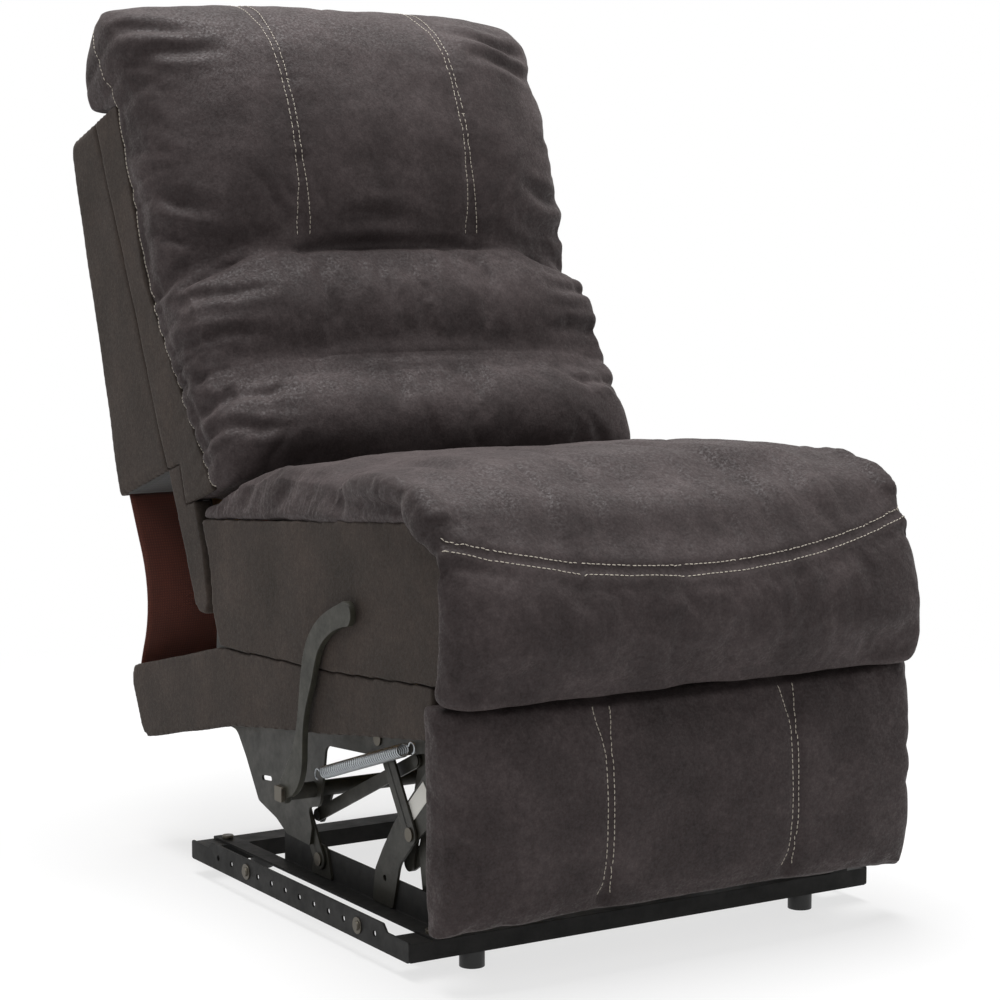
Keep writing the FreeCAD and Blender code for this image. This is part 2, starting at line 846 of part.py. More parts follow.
def build_seat_pins():
    """Pins held by the seat: upper swing pivots, back hinges and footrest arm pivots."""
    rear = spot(size.rear_arm_depth, size.rear_arm_height)
    front = spot(size.front_arm_depth, size.front_arm_height)
    hinge = spot(size.hinge_depth, size.hinge_height)
    pins = []
    for side in (LEFT, RIGHT):
        name = SIDE_NAMES[side]
        inner = swing_face - size.plate_thickness
        for n, at in enumerate(swing_tops()):
            tag = f"{name}_seat_pin_{n}"
            pins.append(rivet(tag, side, at, seat_plate_face, inner, size.pivot_radius, size.head_radius))
        inner = post_face
        tag = f"{name}_hinge_pin"
        pins.append(rivet(tag, side, hinge, seat_plate_face, inner, size.pivot_radius, size.head_radius))
        for n, at in enumerate((rear, front)):
            tag = f"{name}_arm_pin_{n}"
            inner = arm_face - size.plate_thickness
            pin = size.arm_pin_radius
            pins.append(rivet(tag, side, at, hanger_face, inner, pin, size.arm_head_radius, "outer"))
    keep("seat_pivot_pins", group("seat_pivot_pins", pins))


def seam_line(x):
    """The curved seam between the front pillow and the seat cushion: lowest in the middle."""
    t = share(x, half_width)
    depth = size.seam_side_depth + (size.seam_middle_depth - size.seam_side_depth) * t
    return depth, size.seam_side_height - size.seam_dip * t


def build_seat_cushions():
    """The front pillow, the crowned seat cushion and the foam under it."""
    inside = [cushion_half * step for step in (0, 0.25, 0.5, 0.72, 0.88, 1)]
    rings = []
    for x in mirrored(inside + [half_width - 9, half_width]):
        t = share(x, half_width)
        end = abs(x) == half_width
        low = size.pillow_low + (12 if end else 0)
        front = -size.pillow_front * (0.25 + 0.75 * min(1, 2.2 * t)) + (10 if end else 0)
        depth, height = seam_line(x)
        if end:
            height -= 14
        points = [
            spot(size.pillow_rear, low),
            spot(8, low),
            spot(front, low + size.pillow_round + 8),
            spot(depth, height),
            spot(size.pillow_rear, height),
        ]
        rings.append(ring(x, points, [0, 10, 1.5 + 9 * t, 0, 0]))
    keep("seat_front_pillow", loft("seat_front_pillow", rings))

    rings = []
    for x in mirrored(inside + [cushion_half + panel_step, band_face + 2]):
        t = share(x, band_face + 2)
        outer = abs(x) > cushion_half
        depth, height = seam_line(x)
        depth, height = depth + 0.5, height + size.seam_gap
        crown = size.seat_edge_height + (size.seat_crown_height - size.seat_edge_height) * min(1, 1.6 * t)
        if outer:
            bottom = size.gusset_shoulder_top + 1.5
            front = (size.gusset_front + 2, size.gusset_front_top + 27)
            heel = (size.seat_rear + 3, size.gusset_rear_top + 9)
        else:
            bottom = height
            front = (depth, height)
            heel = (size.seat_heel, size.seat_heel_height)
        points = [
            spot(*front),
            spot(118, crown),
            spot(300, crown - 8),
            spot(size.seat_rear, size.seat_rear_height + 6 * t),
            spot(*heel),
            spot(size.gusset_shoulder, bottom),
        ]
        rings.append(ring(x, points, [10 + 8 * t, 4, 4, 0, 0, 0]))
    keep("seat_cushion", loft("seat_cushion", rings))
    low_edge = size.seam_side_height - size.seam_dip
    foam = box(
        "seat_foam",
        (-cushion_half, size.gusset_shoulder - 20 - middle_depth, size.foam_low),
        (2 * cushion_half, foam_rear - size.gusset_shoulder + 20, low_edge - size.foam_low),
    )
    keep("seat_foam", foam)


def build_back_frame():
    """Two posts, two cross rails and the brackets that hang the back on the seat's hinges."""
    hinge_reach, hinge_climb = to_back(size.hinge_depth, size.hinge_height)
    lean = math.radians(size.frame_lean)
    center = (boundary(hinge_climb) - size.frame_depth / 2, hinge_climb)
    up = (math.sin(lean), math.cos(lean))
    rear = (math.cos(lean), -math.sin(lean))

    def frame_point(climb, reach):
        return (center[0] + up[0] * climb + rear[0] * reach, center[1] + up[1] * climb + rear[1] * reach)

    turn = FreeCAD.Rotation(Vector(1, 0, 0), -size.frame_lean)
    posts = []
    brackets = []
    hole = size.pivot_radius + size.pivot_clearance
    for side in (LEFT, RIGHT):
        name = SIDE_NAMES[side]
        start = frame_point(size.post_start, -size.post_depth / 2)
        x = -post_face if side == LEFT else post_face - size.post_width
        place = back_plane().multiply(FreeCAD.Placement(Vector(x, *start), turn))
        post = doc.addObject("Part::Box", f"{name}_back_post")
        post.setExpression("Length", "Sizes.post_width")
        post.setExpression("Width", "Sizes.post_depth")
        post.setExpression("Height", "Sizes.post_length")
        post.Placement = place
        keep(f"{name}_back_post", post)
        eye = (hinge_reach, hinge_climb)
        strap = capsule(eye, frame_point(size.bracket_length, 0), 12)
        strap.append(circle(eye, hole))
        face = post_face + size.plate_thickness
        brackets.append(plate(f"{name}_bracket", side, face, "plate_thickness", [strap], back_plane()))
        posts.append(post)
    keep("back_brackets", group("back_brackets", brackets))

    inner = post_face - size.post_width
    rails = []
    for tag, climb in (("low", 150), ("top", size.post_length + size.post_start - size.rail_board)):
        start = frame_point(climb, -size.post_depth / 2)
        place = back_plane().multiply(FreeCAD.Placement(Vector(-inner, *start), turn))
        rail = doc.addObject("Part::Box", f"{tag}_back_rail")
        rail.Length = 2 * inner
        rail.setExpression("Width", "Sizes.post_depth")
        rail.setExpression("Height", "Sizes.rail_board")
        rail.Placement = place
        rails.append(rail)
    keep("back_rails", group("back_rails", rails))

    low_end = frame_point(150 + size.rail_board, 0)
    high_end = frame_point(size.post_length + size.post_start - size.rail_board, 0)
    springs = []
    for n, x in enumerate((-156, -52, 52, 156)):
        springs.append(zigzag(f"back_spring_{n}", x, low_end, high_end, back_plane()))
    keep("back_springs", group("back_springs", springs))


def zigzag(name, x, start, end, placement=None):
    """A sinuous spring: one wire of straight runs and half turns, from rail to rail."""
    a, b = Vector(x, *start), Vector(x, *end)
    along = (b - a).normalize()
    margin = size.zigzag_wire + size.seam_gap
    span = (b - a).Length - 2 * margin
    turns = int(span / (2 * size.zigzag_radius))
    return sinuous(name, a + along * margin, along, turns, span / (2 * turns), placement)


def sinuous(name, here, along, turns, radius, placement):
    """The wire of a sinuous spring as a tube."""
    half = size.zigzag_width / 2 - radius
    across = Vector(1, 0, 0)
    first = here - across * half
    edges = [Part.LineSegment(first, here + across * half).toShape()]
    side = 1
    for n in range(turns):
        start = here + along * (2 * radius * n) + across * (half * side)
        end = start + along * (2 * radius)
        nose = start + along * radius + across * (radius * side)
        edges.append(Part.Arc(start, nose, end).toShape())
        edges.append(Part.LineSegment(end, end - across * (2 * half * side)).toShape())
        side = -side
    item = doc.addObject("Part::Feature", name)
    item.Shape = tube_along(Part.Wire(edges), size.zigzag_wire, first, across)
    if placement:
        item.Placement = placement
    return item


def tube_along(path, radius, start, direction):
    """A round wire swept along a path."""
    section = Part.Wire(Part.Circle(start, direction, radius).toShape())
    shell = Part.BRepOffsetAPI.MakePipeShell(path)
    shell.add(section)
    shell.build()
    shell.makeSolid()
    return shell.shape()


def mirrored(places):
    """Stations across the chair, from the left edge to the right edge."""
    return [-place for place in reversed(places[1:])] + places


def back_stations():
    """Stations of the back's pillows: the middle, the sewn channels, and a step at the boxing."""
    channel, half = size.channel_place, size.channel_half_width
    shoulder = [channel + (pillow_half - channel) * step for step in (0.35, 0.6, 0.85)]
    places = [0, channel - half, channel, channel + half] + shoulder
    return mirrored(places + [pillow_half, pillow_half + panel_step, band_face + 4])


def back_pillow(low, high, low_front, high_front, bulge):
    """Rings of a pillow of the back; its edges and their reach are given for each X."""
    rings = []
    for x in back_stations():
        lowest, highest = low(x), high(x)
        faces = [low_front(x) + size.seam_sink, high_front(x) + size.seam_sink]
        rears = [boundary(lowest) - size.frame_depth - 1, boundary(highest) - size.frame_depth - 1]
        sag = bulge
        if abs(x) > pillow_half:
            rears = [boxing_line(lowest) - 1, boxing_line(highest) - 1]
        if abs(x) > band_face:
            lowest, highest = lowest + 8, highest - 8
            faces = [face + 14 for face in faces]
            rears = [rear - 2 for rear in rears]
            sag = bulge * 0.5
        points = [(rears[0], lowest), (faces[0], lowest), (faces[1], highest), (rears[1], highest)]
        rings.append(ring(x, points, [0, sag, 0, 0]))
    return rings


def blend_side(x, side_value, middle_value):
    """A value that runs from the side's to the middle's with the crown of the back."""
    t = min(1.0, 1.5 * share(x, band_face + 4))
    return side_value + (middle_value - side_value) * t


def build_back_cushions():
    """Headrest, lumbar and lower pillows, with the side boxings that close them."""
    gap = size.seam_gap

    def head_seam(x):
        return blend_side(x, size.head_seam_side, size.head_seam_middle)

    def low_seam(x):
        return blend_side(x, size.low_seam_side, size.low_seam_middle)

    def low_front(x):
        return blend_side(x, size.low_front_side, size.low_front_middle)

    def low_seam_front(x):
        return blend_side(x, size.low_seam_front_side, size.low_seam_front_middle)

    def head_seam_front(x):
        return blend_side(x, size.head_seam_front_side, size.head_seam_front_middle)

    rings = back_pillow(
        lambda x: size.cushion_low, lambda x: low_seam(x) - gap, low_front, low_seam_front, 24
    )
    keep("lower_back_cushion", loft("lower_back_cushion", rings, back_plane()))
    rings = back_pillow(low_seam, lambda x: head_seam(x) - gap, low_seam_front, head_seam_front, 22)
    keep("lumbar_cushion", loft("lumbar_cushion", rings, back_plane()))
    keep("headrest_cushion", headrest(head_seam))

    low, top = size.cushion_low, size.shell_top
    tail_front = tail_line() - gap
    shape = [
        (boxing_line(low), low),
        (tail_front, low),
        (tail_front, size.shell_low),
        (boundary(size.shell_low) - gap, size.shell_low),
        (boundary(top) - gap, top),
        (boxing_line(top), top),
        (boxing_line(size.boxing_middle_height), size.boxing_middle_height),
    ]
    for side in (LEFT, RIGHT):
        name = SIDE_NAMES[side]
        edges = rounded(shape, [4, 0, 0, 0, 3, 0, 120])
        cover = plate(f"{name}_boxing", side, band_face, "boxing_thickness", [edges], back_plane())
        keep(f"{name}_back_boxing", cover)


def tail_line():
    """Reach of the front edge of the post covers where they meet the boxings."""
    return boundary(size.shell_low) - size.tail_depth


def headrest(head_seam):
    """The tall top pillow: it reaches over the frame and the top of the shell."""
    rings = []
    for x in back_stations():
        face = size.boxing_top_reach - blend_side(x, size.head_side_depth, size.head_middle_depth)
        if abs(abs(x) - size.channel_place) < 0.1:
            face += size.channel_sink
        lowest = head_seam(x)
        top = size.cushion_top - 6 * (1 - share(x, band_face))
        over = size.shell_top + 2
        rear = boundary(over) - size.frame_depth - 1
        back = boundary(over) + 12
        rear_low = boundary(lowest) - size.frame_depth - 1
        if abs(x) > pillow_half:
            rear = boxing_line(over) - 1
            rear_low = boxing_line(lowest) - 1
        if abs(x) > band_face:
            top -= 14
            face += 16
            lowest += 8
            back -= 8
            rear_low -= 2
            rear -= 2
        points = [
            (rear_low, lowest),
            (face + 18, lowest),
            (face, lowest + 90),
            (face + 16, top - 100),
            (back - 60, top),
            (back, top - 70),
            (back, over + 12),
            (rear, over),
        ]
        rings.append(ring(x, points, [0, 6, 8, 24, 12, 4, 0, 0]))
    return loft("headrest_cushion", rings, back_plane())


def build_back_shell():
    """Outside back: a hollow cover around the frame, with a cambric floor and post covers."""
    low, top, reach = size.shell_low, size.shell_top, size.shell_reach
    wall = size.shell_wall
    outside = [(boundary(low), low), (reach, low), (reach, top), (boundary(top), top)]
    radii = [0, 4, size.shell_round, 3]
    edges = rounded(outside, radii)
    body = plate("shell_outside", LEFT, band_face, "boxing_thickness", [edges], back_plane())
    body.Group[-1].setExpression("Length", "Sizes.seat_width - 2 * Sizes.pillow_overhang")
    inside = [
        (boundary(low) - 60, low - 40),
        (reach - wall, low - 40),
        (reach - wall, top - wall),
        (boundary(top) - 60, top - wall),
    ]
    edges = rounded(inside, [0, 0, 8, 0])
    core = plate("shell_inside", LEFT, band_face - wall, "boxing_thickness", [edges], back_plane())
    core_width = "Sizes.seat_width - 2 * (Sizes.pillow_overhang + Sizes.shell_wall)"
    core.Group[-1].setExpression("Length", core_width)
    keep("back_shell", cut("back_shell", body, core))

    sheet_half = band_face - wall - size.seam_gap
    start = (-sheet_half, boundary(low) + 4, low + 2)
    extent = (2 * sheet_half, reach - wall - size.seam_gap - boundary(low) - 4, "Sizes.cambric_thickness")
    keep("back_dust_cover", box("back_dust_cover", start, extent, back_plane()))

    hinge = to_back(size.hinge_depth, size.hinge_height)
    tail = [
        (hinge[0] - 19, hinge[1] + 2),
        (hinge[0], hinge[1] - 16),
        (hinge[0] + 17, hinge[1] + 4),
        (boundary(low) - 2, low - size.seam_gap),
        (tail_line(), low - size.seam_gap),
        (tail_line(), size.cushion_low - size.seam_gap),
        (hinge[0] - 21, size.cushion_low - size.seam_gap),
        (hinge[0] - 24, hinge[1] + 62),
    ]
    for side in (LEFT, RIGHT):
        name = SIDE_NAMES[side]
        edges = rounded(tail, [10, 14, 10, 0, 0, 0, 0, 30])
        cover = plate(f"{name}_tail", side, band_face, "tail_width", [edges], back_plane())
        keep(f"{name}_post_cover", cover)


def build_drop_cloth():
    """The rear flap of cloth that hangs between the shell and the seat's rear rail."""
    rail_rear = size.rear_rail_depth + size.board_thickness + size.seam_gap
    line = [(818, 420), (758, 310), (812, 190), (798, 148), (rail_rear, 148)]
    sheet_half = board_face - 2
    rings = []
    for x in (-sheet_half, -sheet_half / 2, 0, sheet_half / 2, sheet_half):
        drift = 5 * math.cos(4 * math.pi * x / sheet_half)
        path = [spot(d + (drift if 0 < n < 3 else 0), h) for n, (d, h) in enumerate(line)]
        rings.append(ribbon(x, path, size.cambric_thickness))
    keep("drop_cloth", loft("drop_cloth", rings))


def ribbon(x, path, thickness):
    """A closed wire around a folded line of cloth."""
    points = [Vector(x, *p) for p in path]
    shifts = []
    for n, here in enumerate(points):
        before = points[max(0, n - 1)]
        after = points[min(len(points) - 1, n + 1)]
        along = (after - before).normalize()
        shifts.append(Vector(0, along.z, -along.y) * thickness)
    outline = points + [p + s for p, s in reversed(list(zip(points, shifts)))]
    edges = [Part.LineSegment(a, b).toShape() for a, b in zip(outline, outline[1:] + outline[:1])]
    return Part.Wire(edges)


def crank_end(center):
    """Where a crank of the torque tube, or its twin on the rear arm, holds the drive link."""
    angle = math.radians(size.crank_angle)
    return (center[0] + size.crank_length * math.cos(angle), center[1] + size.crank_length * math.sin(angle))


def lever_points(shares):
    """Points of the lever's outline, given as shares of its lean rearwards and its rise."""
    y, z = spot(size.shaft_depth, size.shaft_height)
    return [Vector(0, y + size.lever_lean * a, z + size.lever_rise * b) for a, b in shares]


def build_drive():
    """Lever, torque tube with two cranks, and the links that drive the footrest arms."""
    shaft = spot(size.shaft_depth, size.shaft_height)
    rear = spot(size.rear_arm_depth, size.rear_arm_height)
    pin = size.arm_pin_radius
    hole = pin + size.pivot_clearance
    nut_face = half_width - 0.4
    lever_face = nut_face - size.nut_thickness
    lever_inner = lever_face - size.lever_thickness
    long_rod = rod("shaft_bar", LEFT, shaft, lever_inner, -(seat_plate_face + 3), size.shaft_radius)
    parts = [long_rod]
    for side in (LEFT, RIGHT):
        name = SIDE_NAMES[side]
        crank = plate(
            f"{name}_crank", side, arm_face, "plate_thickness",
            [capsule(shaft, crank_end(shaft), size.crank_width / 2)],
        )
        stud = rivet(
            f"{name}_crank_pin", side, crank_end(shaft), hanger_face, arm_face - size.plate_thickness,
            pin, size.arm_head_radius, "outer",
        )
        parts += [crank, stud]
    keep("torque_tube", fuse("torque_tube", parts))

    links = []
    for side in (LEFT, RIGHT):
        name = SIDE_NAMES[side]
        ends = [(crank_end(rear), crank_end(shaft))]
        links.append(arm(f"{name}_drive_link", side, hanger_face, ends, size.link_width, hole))
    keep("drive_links", group("drive_links", links))

    rear_line = lever_points([
        (0.08, 0.01), (-0.04, 0.12), (-0.175, 0.264), (-0.24, 0.407), (-0.28, 0.567), (-0.354, 0.745),
        (-0.51, 0.874), (-0.68, 0.945), (-0.87, 0.999),
    ])
    front_line = lever_points([
        (-0.95, 0.896), (-0.72, 0.844), (-0.54, 0.74), (-0.447, 0.589), (-0.348, 0.433), (-0.31, 0.281),
        (-0.286, 0.13), (-0.23, 0.06), (-0.07, -0.012),
    ])
    tip, heel = lever_points([(-1, 0.962), (0.02, -0.05)])
    edges = [smooth(rear_line), Part.Arc(rear_line[-1], tip, front_line[0])]
    edges += [smooth(front_line), Part.Arc(front_line[-1], heel, rear_line[0])]
    lever = plate("lever", LEFT, lever_face, "lever_thickness", [edges])
    keep("lever", lever)

    y, z = shaft
    side_half = size.nut_size / 2
    corners = [(y - side_half, z - side_half), (y + side_half, z - side_half)]
    corners += [(y + side_half, z + side_half), (y - side_half, z + side_half)]
    keep("lever_nut", plate("lever_nut", LEFT, nut_face, "nut_thickness", [rounded(corners, 2)]))


def build_footrest_arms():
    """The folding arms on both sides, each with its rivets, and the brackets on the board."""
    rear = spot(size.rear_arm_depth, size.rear_arm_height)
    front = spot(size.front_arm_depth, size.front_arm_height)
    open_joint = spot(size.open_joint_depth, size.open_joint_height)
    knee = spot(size.knee_depth, size.knee_height)
    foot = spot(size.foot_joint_depth, size.foot_joint_height)
    top = spot(size.bracket_top_depth, size.bracket_top_height)
    low = spot(size.bracket_low_depth, size.bracket_low_height)
    pin, head = size.arm_pin_radius, size.arm_head_radius
    hole = pin + size.pivot_clearance
    width = size.arm_width
    sets = {"front_arms": [], "rear_arms": [], "lower_arms": [], "outer_arms": [], "footrest_brackets": []}
    for side in (LEFT, RIGHT):
        name = SIDE_NAMES[side]
        arm_in = arm_face - size.plate_thickness
        outer_in = outer_arm_face - size.plate_thickness
        bracket_in = bracket_face - size.plate_thickness

        front_arm = arm(f"{name}_front_arm", side, arm_face, [(front, knee), (knee, foot)], width, hole)
        knee_pin = rivet(f"{name}_knee_pin", side, knee, arm_face, outer_in, hole, head, "inner")
        foot_pin = rivet(f"{name}_foot_pin", side, foot, arm_face, outer_in, hole, head, "inner")
        sets["front_arms"].append(fuse(f"{name}_front_arm_set", [front_arm, knee_pin, foot_pin]))

        drive_eye = crank_end(rear)
        legs = [(rear, open_joint), (rear, drive_eye)]
        rear_arm = arm(f"{name}_rear_arm", side, arm_face, legs, width, hole)
        drive_pin = rivet(f"{name}_drive_pin", side, drive_eye, hanger_face, arm_in, hole, head, "outer")
        plug = rod(f"{name}_open_plug", side, open_joint, arm_face, arm_in, hole)
        sets["rear_arms"].append(fuse(f"{name}_rear_arm_set", [rear_arm, drive_pin, plug]))

        wide = hole + size.pivot_clearance
        lower = arm(f"{name}_lower_arm", side, outer_arm_face, [(knee, open_joint), (knee, top)], width, wide)
        top_pin = rivet(f"{name}_top_pin", side, top, outer_arm_face, bracket_in, wide, head, "inner")
        cap = rod(f"{name}_open_cap", side, open_joint, outer_arm_face, outer_in - size.head_thickness, wide)
        sets["lower_arms"].append(fuse(f"{name}_lower_arm_set", [lower, top_pin, cap]))

        outer = arm(f"{name}_outer_arm", side, outer_arm_face, [(foot, low)], width, wide)
        end = rod(f"{name}_end_plug", side, low, outer_arm_face, outer_in, wide)
        sets["outer_arms"].append(fuse(f"{name}_outer_arm_set", [outer, end]))

        sets["footrest_brackets"].append(bracket(name, side, top, low, wide + size.pivot_clearance))
    bar_end = bracket_face - size.plate_thickness
    bar = box(
        "footrest_cross_bar",
        (-bar_end, size.pad_rear + size.footboard_thickness - middle_depth, 232),
        (2 * bar_end, "Sizes.cross_bar", "Sizes.cross_bar"),
    )
    for name, parts in sets.items():
        if name == "footrest_brackets":
            keep(name, fuse(name, parts + [bar]))
        else:
            keep(name, group(name, parts))


def bracket(name, side, top, low, hole):
    """Angle on the footrest board that holds the two arm ends."""
    board_rear = size.pad_rear + size.footboard_thickness
    rear = top[0] + 12
    start = board_rear - middle_depth
    shape = [(start, low[1] - 14), (rear, low[1] - 12), (rear, top[1] + 11), (start, top[1] + 11)]
    edges = rounded(shape, [0, 8, 8, 0]) + [circle(top, hole), circle(low, hole)]
    web = plate(f"{name}_bracket_web", side, bracket_face, "plate_thickness", [edges])
    width = 26
    x = -bracket_face if side == LEFT else bracket_face - width
    foot = box(
        f"{name}_bracket_foot",
        (x, start, low[1] - 14),
        (width, "Sizes.plate_thickness", top[1] - low[1] + 25),
    )
    return fuse(f"{name}_footrest_bracket", [web, foot])


def build_footrest():
    """The board and its crowned pad with two sewn channels."""
    inset = size.footboard_inset
    board = box(
        "footrest_board",
        (-half_width + inset, size.pad_rear - middle_depth, size.pad_low + inset / 2),
        (2 * (half_width - inset), "Sizes.footboard_thickness", size.pad_top - size.pad_low - inset),
    )
    keep("footrest_board", board)
    channel, half = size.channel_place, size.channel_half_width
    places = [0, channel - half, channel, channel + half, 220, 290, half_width]
    rings = []
    for x in [-p for p in reversed(places[1:])] + places:
        t = share(x, half_width)
        face = -size.pad_crown * min(1, 1.8 * t)
        if abs(abs(x) - channel) < 0.1:
            face += size.channel_sink * 0.6
        end = 10 if abs(x) == half_width else 0
        points = [
            spot(size.pad_rear - size.seam_gap, size.pad_low + end),
            spot(face + 14 + end, size.pad_low + end),
            spot(face + 14 + end, size.pad_top - end),
            spot(size.pad_rear - size.seam_gap, size.pad_top - end),
        ]
        rings.append(ring(x, points, [0, 14, 0, 0]))
    keep("footrest_pad", loft("footrest_pad", rings))


def biarc(start, start_way, end, end_way):
    """Two arcs that leave the start and meet the end in the given directions."""
    gap = end - start
    ways = start_way + end_way
    spread = 2 * (1 - start_way.dot(end_way))
    reach = gap.dot(ways)
    if abs(spread) < 1e-9:
        length = gap.dot(gap) / (4 * gap.dot(end_way))
    else:
        length = (-reach + math.sqrt(reach * reach + spread * gap.dot(gap))) / spread
    joint = (start + end + (start_way - end_way) * length) / 2
    return [arc_from(start, start_way, joint), arc_from(end, end_way * -1, joint)]


def arc_from(start, way, end):
    """The arc from a point, in a direction, to another point."""
    chord = end - start
    unit = Vector(chord).normalize()
    lift = way - unit * way.dot(unit)
    if lift.Length < 1e-6:
        return Part.LineSegment(start, end).toShape()
    angle = way.getAngle(chord)
    nose = (start + end) / 2 + lift.normalize() * (chord.Length / 2 * math.tan(angle / 2))
    return Part.Arc(start, nose, end).toShape()


def build_extension_springs():
    """Wound tension springs between the seat plates and the torque tube, with open hooks."""
    front = spot(size.spring_front_depth, size.spring_front_height)
    rear = spot(size.spring_rear_depth, size.spring_rear_height)
    for side in (LEFT, RIGHT):
        x = side * (seat_plate_face + size.spring_gap)
        start, end = Vector(x, *front), Vector(x, *rear)
        item = doc.addObject("Part::Feature", f"{SIDE_NAMES[side]}_extension_spring")
        item.Shape = coil_spring(start, end)
        keep(f"{SIDE_NAMES[side]}_extension_spring", item)


def coil_spring(start, end):
    """One unbroken wire: a hook, a close coil on quarter-turn biarcs, and a second hook."""
    along = (end - start).normalize()
    flat = Vector(1, 0, 0)
    across = along.cross(flat)
    radius, pitch, turns = size.coil_radius, size.coil_pitch, int(size.coil_turns)
    length = (end - start).Length
    lead = (length - pitch * turns) / 2
    hook = 4.5

    def helix(angle):
        advance = lead + pitch * angle / (2 * math.pi)
        place = start + along * advance
        place += flat * (radius * math.cos(angle)) + across * (radius * math.sin(angle))
        way = flat * (-radius * math.sin(angle)) + across * (radius * math.cos(angle))
        way += along * (pitch / (2 * math.pi))
        return place, way.normalize()

    edges = []
    tip = start - across * hook
    turn_end = start + across * hook
    edges.append(Part.Arc(tip, start - along * hook, turn_end).toShape())
    first, first_way = helix(0)
    edges += biarc(turn_end, along, first, first_way)
    steps = turns * 4
    place, way = first, first_way
    for n in range(1, steps + 1):
        following, next_way = helix(n * math.pi / 2)
        edges += biarc(place, way, following, next_way)
        place, way = following, next_way
    tail = end + across * hook
    edges += biarc(place, way, tail, along)
    edges.append(Part.Arc(tail, end + along * hook, end - across * hook).toShape())
    path = Part.Wire(Part.__sortEdges__(edges))
    print("spring gap", round(least_gap(path, size.wire_radius), 2), "mm")
    return tube_along(path, size.wire_radius, tip, along)


def least_gap(path, radius):
    """The least free distance of a wire to itself, on points along its path."""
    points = path.discretize(Distance=1.0)
    skip = int(math.pi * size.coil_radius)
    least = 1e9
    for n, here in enumerate(points):
        for other in points[n + skip: n + 3 * skip]:
            least = min(least, (here - other).Length)
    return least - 2 * radius


def build_seat_springs():
    """Sinuous springs from the front rail to the rear rail, under the foam."""
    height = size.foam_low - size.seam_gap - size.zigzag_wire
    front = spot(size.pillow_rear + size.seam_gap + size.board_thickness, height)
    rear = spot(foam_rear - 4, height)
    springs = [zigzag(f"seat_spring_{n}", x, front, rear) for n, x in enumerate((-168, -56, 56, 168))]
    keep("seat_springs", group("seat_springs", springs))


build_base()
build_swing_links()
build_seat_box()
build_hangers()
build_seat_pins()
build_seat_cushions()
build_back_frame()
build_back_cushions()
build_back_shell()
build_drop_cloth()
build_drive()
build_footrest_arms()
build_footrest()
build_extension_springs()
build_seat_springs()

doc.recompute()
for item in doc.Objects:
    if "Invalid" in item.State or "Error" in item.State:
        raise RuntimeError(f"{item.Name} failed: {item.State}")
for name, item in pieces.items():
    if item.Shape.isNull() or not item.Shape.isValid():
        raise RuntimeError(f"{name} has no valid shape")

os.makedirs("parts", exist_ok=True)
for name, item in pieces.items():
    item.Shape.exportStep(f"parts/{name}.step")
    print(name, len(item.Shape.Solids), "solids", round(item.Shape.Volume / 1000, 1), "cm3")
print(len(pieces), "sub-parts")
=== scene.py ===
# %% [markdown]
# This lesson dresses an armless recliner from a modular sofa: a padded seat and back in suede-like
# microfibre on a painted steel mechanism that glides, reclines and lifts a footrest.
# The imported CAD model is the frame. Rigid steel pieces keep their CAD shape and get a finish,
# and every soft piece is modelled here as fabric, in the space of the solid that it replaces.

# %% Load the frame
import bpy
import math
import numpy as np
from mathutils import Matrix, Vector, noise
from mathutils.bvhtree import BVHTree
from mathutils.kdtree import KDTree


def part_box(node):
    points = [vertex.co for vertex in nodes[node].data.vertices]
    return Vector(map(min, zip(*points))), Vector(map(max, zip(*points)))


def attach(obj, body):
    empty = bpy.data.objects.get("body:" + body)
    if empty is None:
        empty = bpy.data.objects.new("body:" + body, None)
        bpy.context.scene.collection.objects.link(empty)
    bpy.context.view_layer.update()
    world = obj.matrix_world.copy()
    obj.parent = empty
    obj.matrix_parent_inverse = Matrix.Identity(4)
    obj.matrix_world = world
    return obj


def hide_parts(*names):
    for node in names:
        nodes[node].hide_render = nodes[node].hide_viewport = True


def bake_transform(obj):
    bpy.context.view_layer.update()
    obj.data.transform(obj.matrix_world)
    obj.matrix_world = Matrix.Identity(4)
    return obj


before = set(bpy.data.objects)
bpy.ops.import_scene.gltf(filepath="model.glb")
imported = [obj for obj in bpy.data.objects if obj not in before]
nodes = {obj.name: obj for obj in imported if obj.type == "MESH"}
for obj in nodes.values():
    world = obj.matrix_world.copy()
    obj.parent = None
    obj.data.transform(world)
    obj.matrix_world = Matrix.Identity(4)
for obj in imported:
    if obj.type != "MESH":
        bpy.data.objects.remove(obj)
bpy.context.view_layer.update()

scene = bpy.context.scene
MM = 0.001
MIDDLE_DEPTH = 466.96
TILT = math.radians(17.5)

# %% [markdown]
# Sizes are read from the side of the chair in millimetres: how far across, how deep from the front
# of the footrest, and how high. The back leans by 17.5 degrees, so its seams are easier to give in
# its own plane, as a reach rearwards and a climb up the slope. Two small functions turn both kinds
# of measure into points of the scene, which is in metres.

# %% Points of the seat and of the back
def spot(across, depth, height):
    """A point of the scene from millimetres across, deep and high."""
    return Vector((across, depth - MIDDLE_DEPTH, height)) * MM


def back_spot(across, reach, climb):
    """A point of the leaning back from its reach rearwards and its climb up the slope."""
    depth = reach * math.cos(TILT) + climb * math.sin(TILT)
    return spot(across, depth, climb * math.cos(TILT) - reach * math.sin(TILT))


def placed(lines, point_of):
    """Lines of measures as lines of points."""
    return [[point_of(*measures) for measures in line] for line in lines]


def deselect():
    """Clears the selection, so that an operator acts on the new piece alone."""
    if bpy.context.object and bpy.context.object.mode != "OBJECT":
        bpy.ops.object.mode_set(mode="OBJECT")
    bpy.ops.object.select_all(action="DESELECT")


def only(piece):
    """Selects one piece and makes it the active one."""
    deselect()
    piece.select_set(True)
    bpy.context.view_layer.objects.active = piece


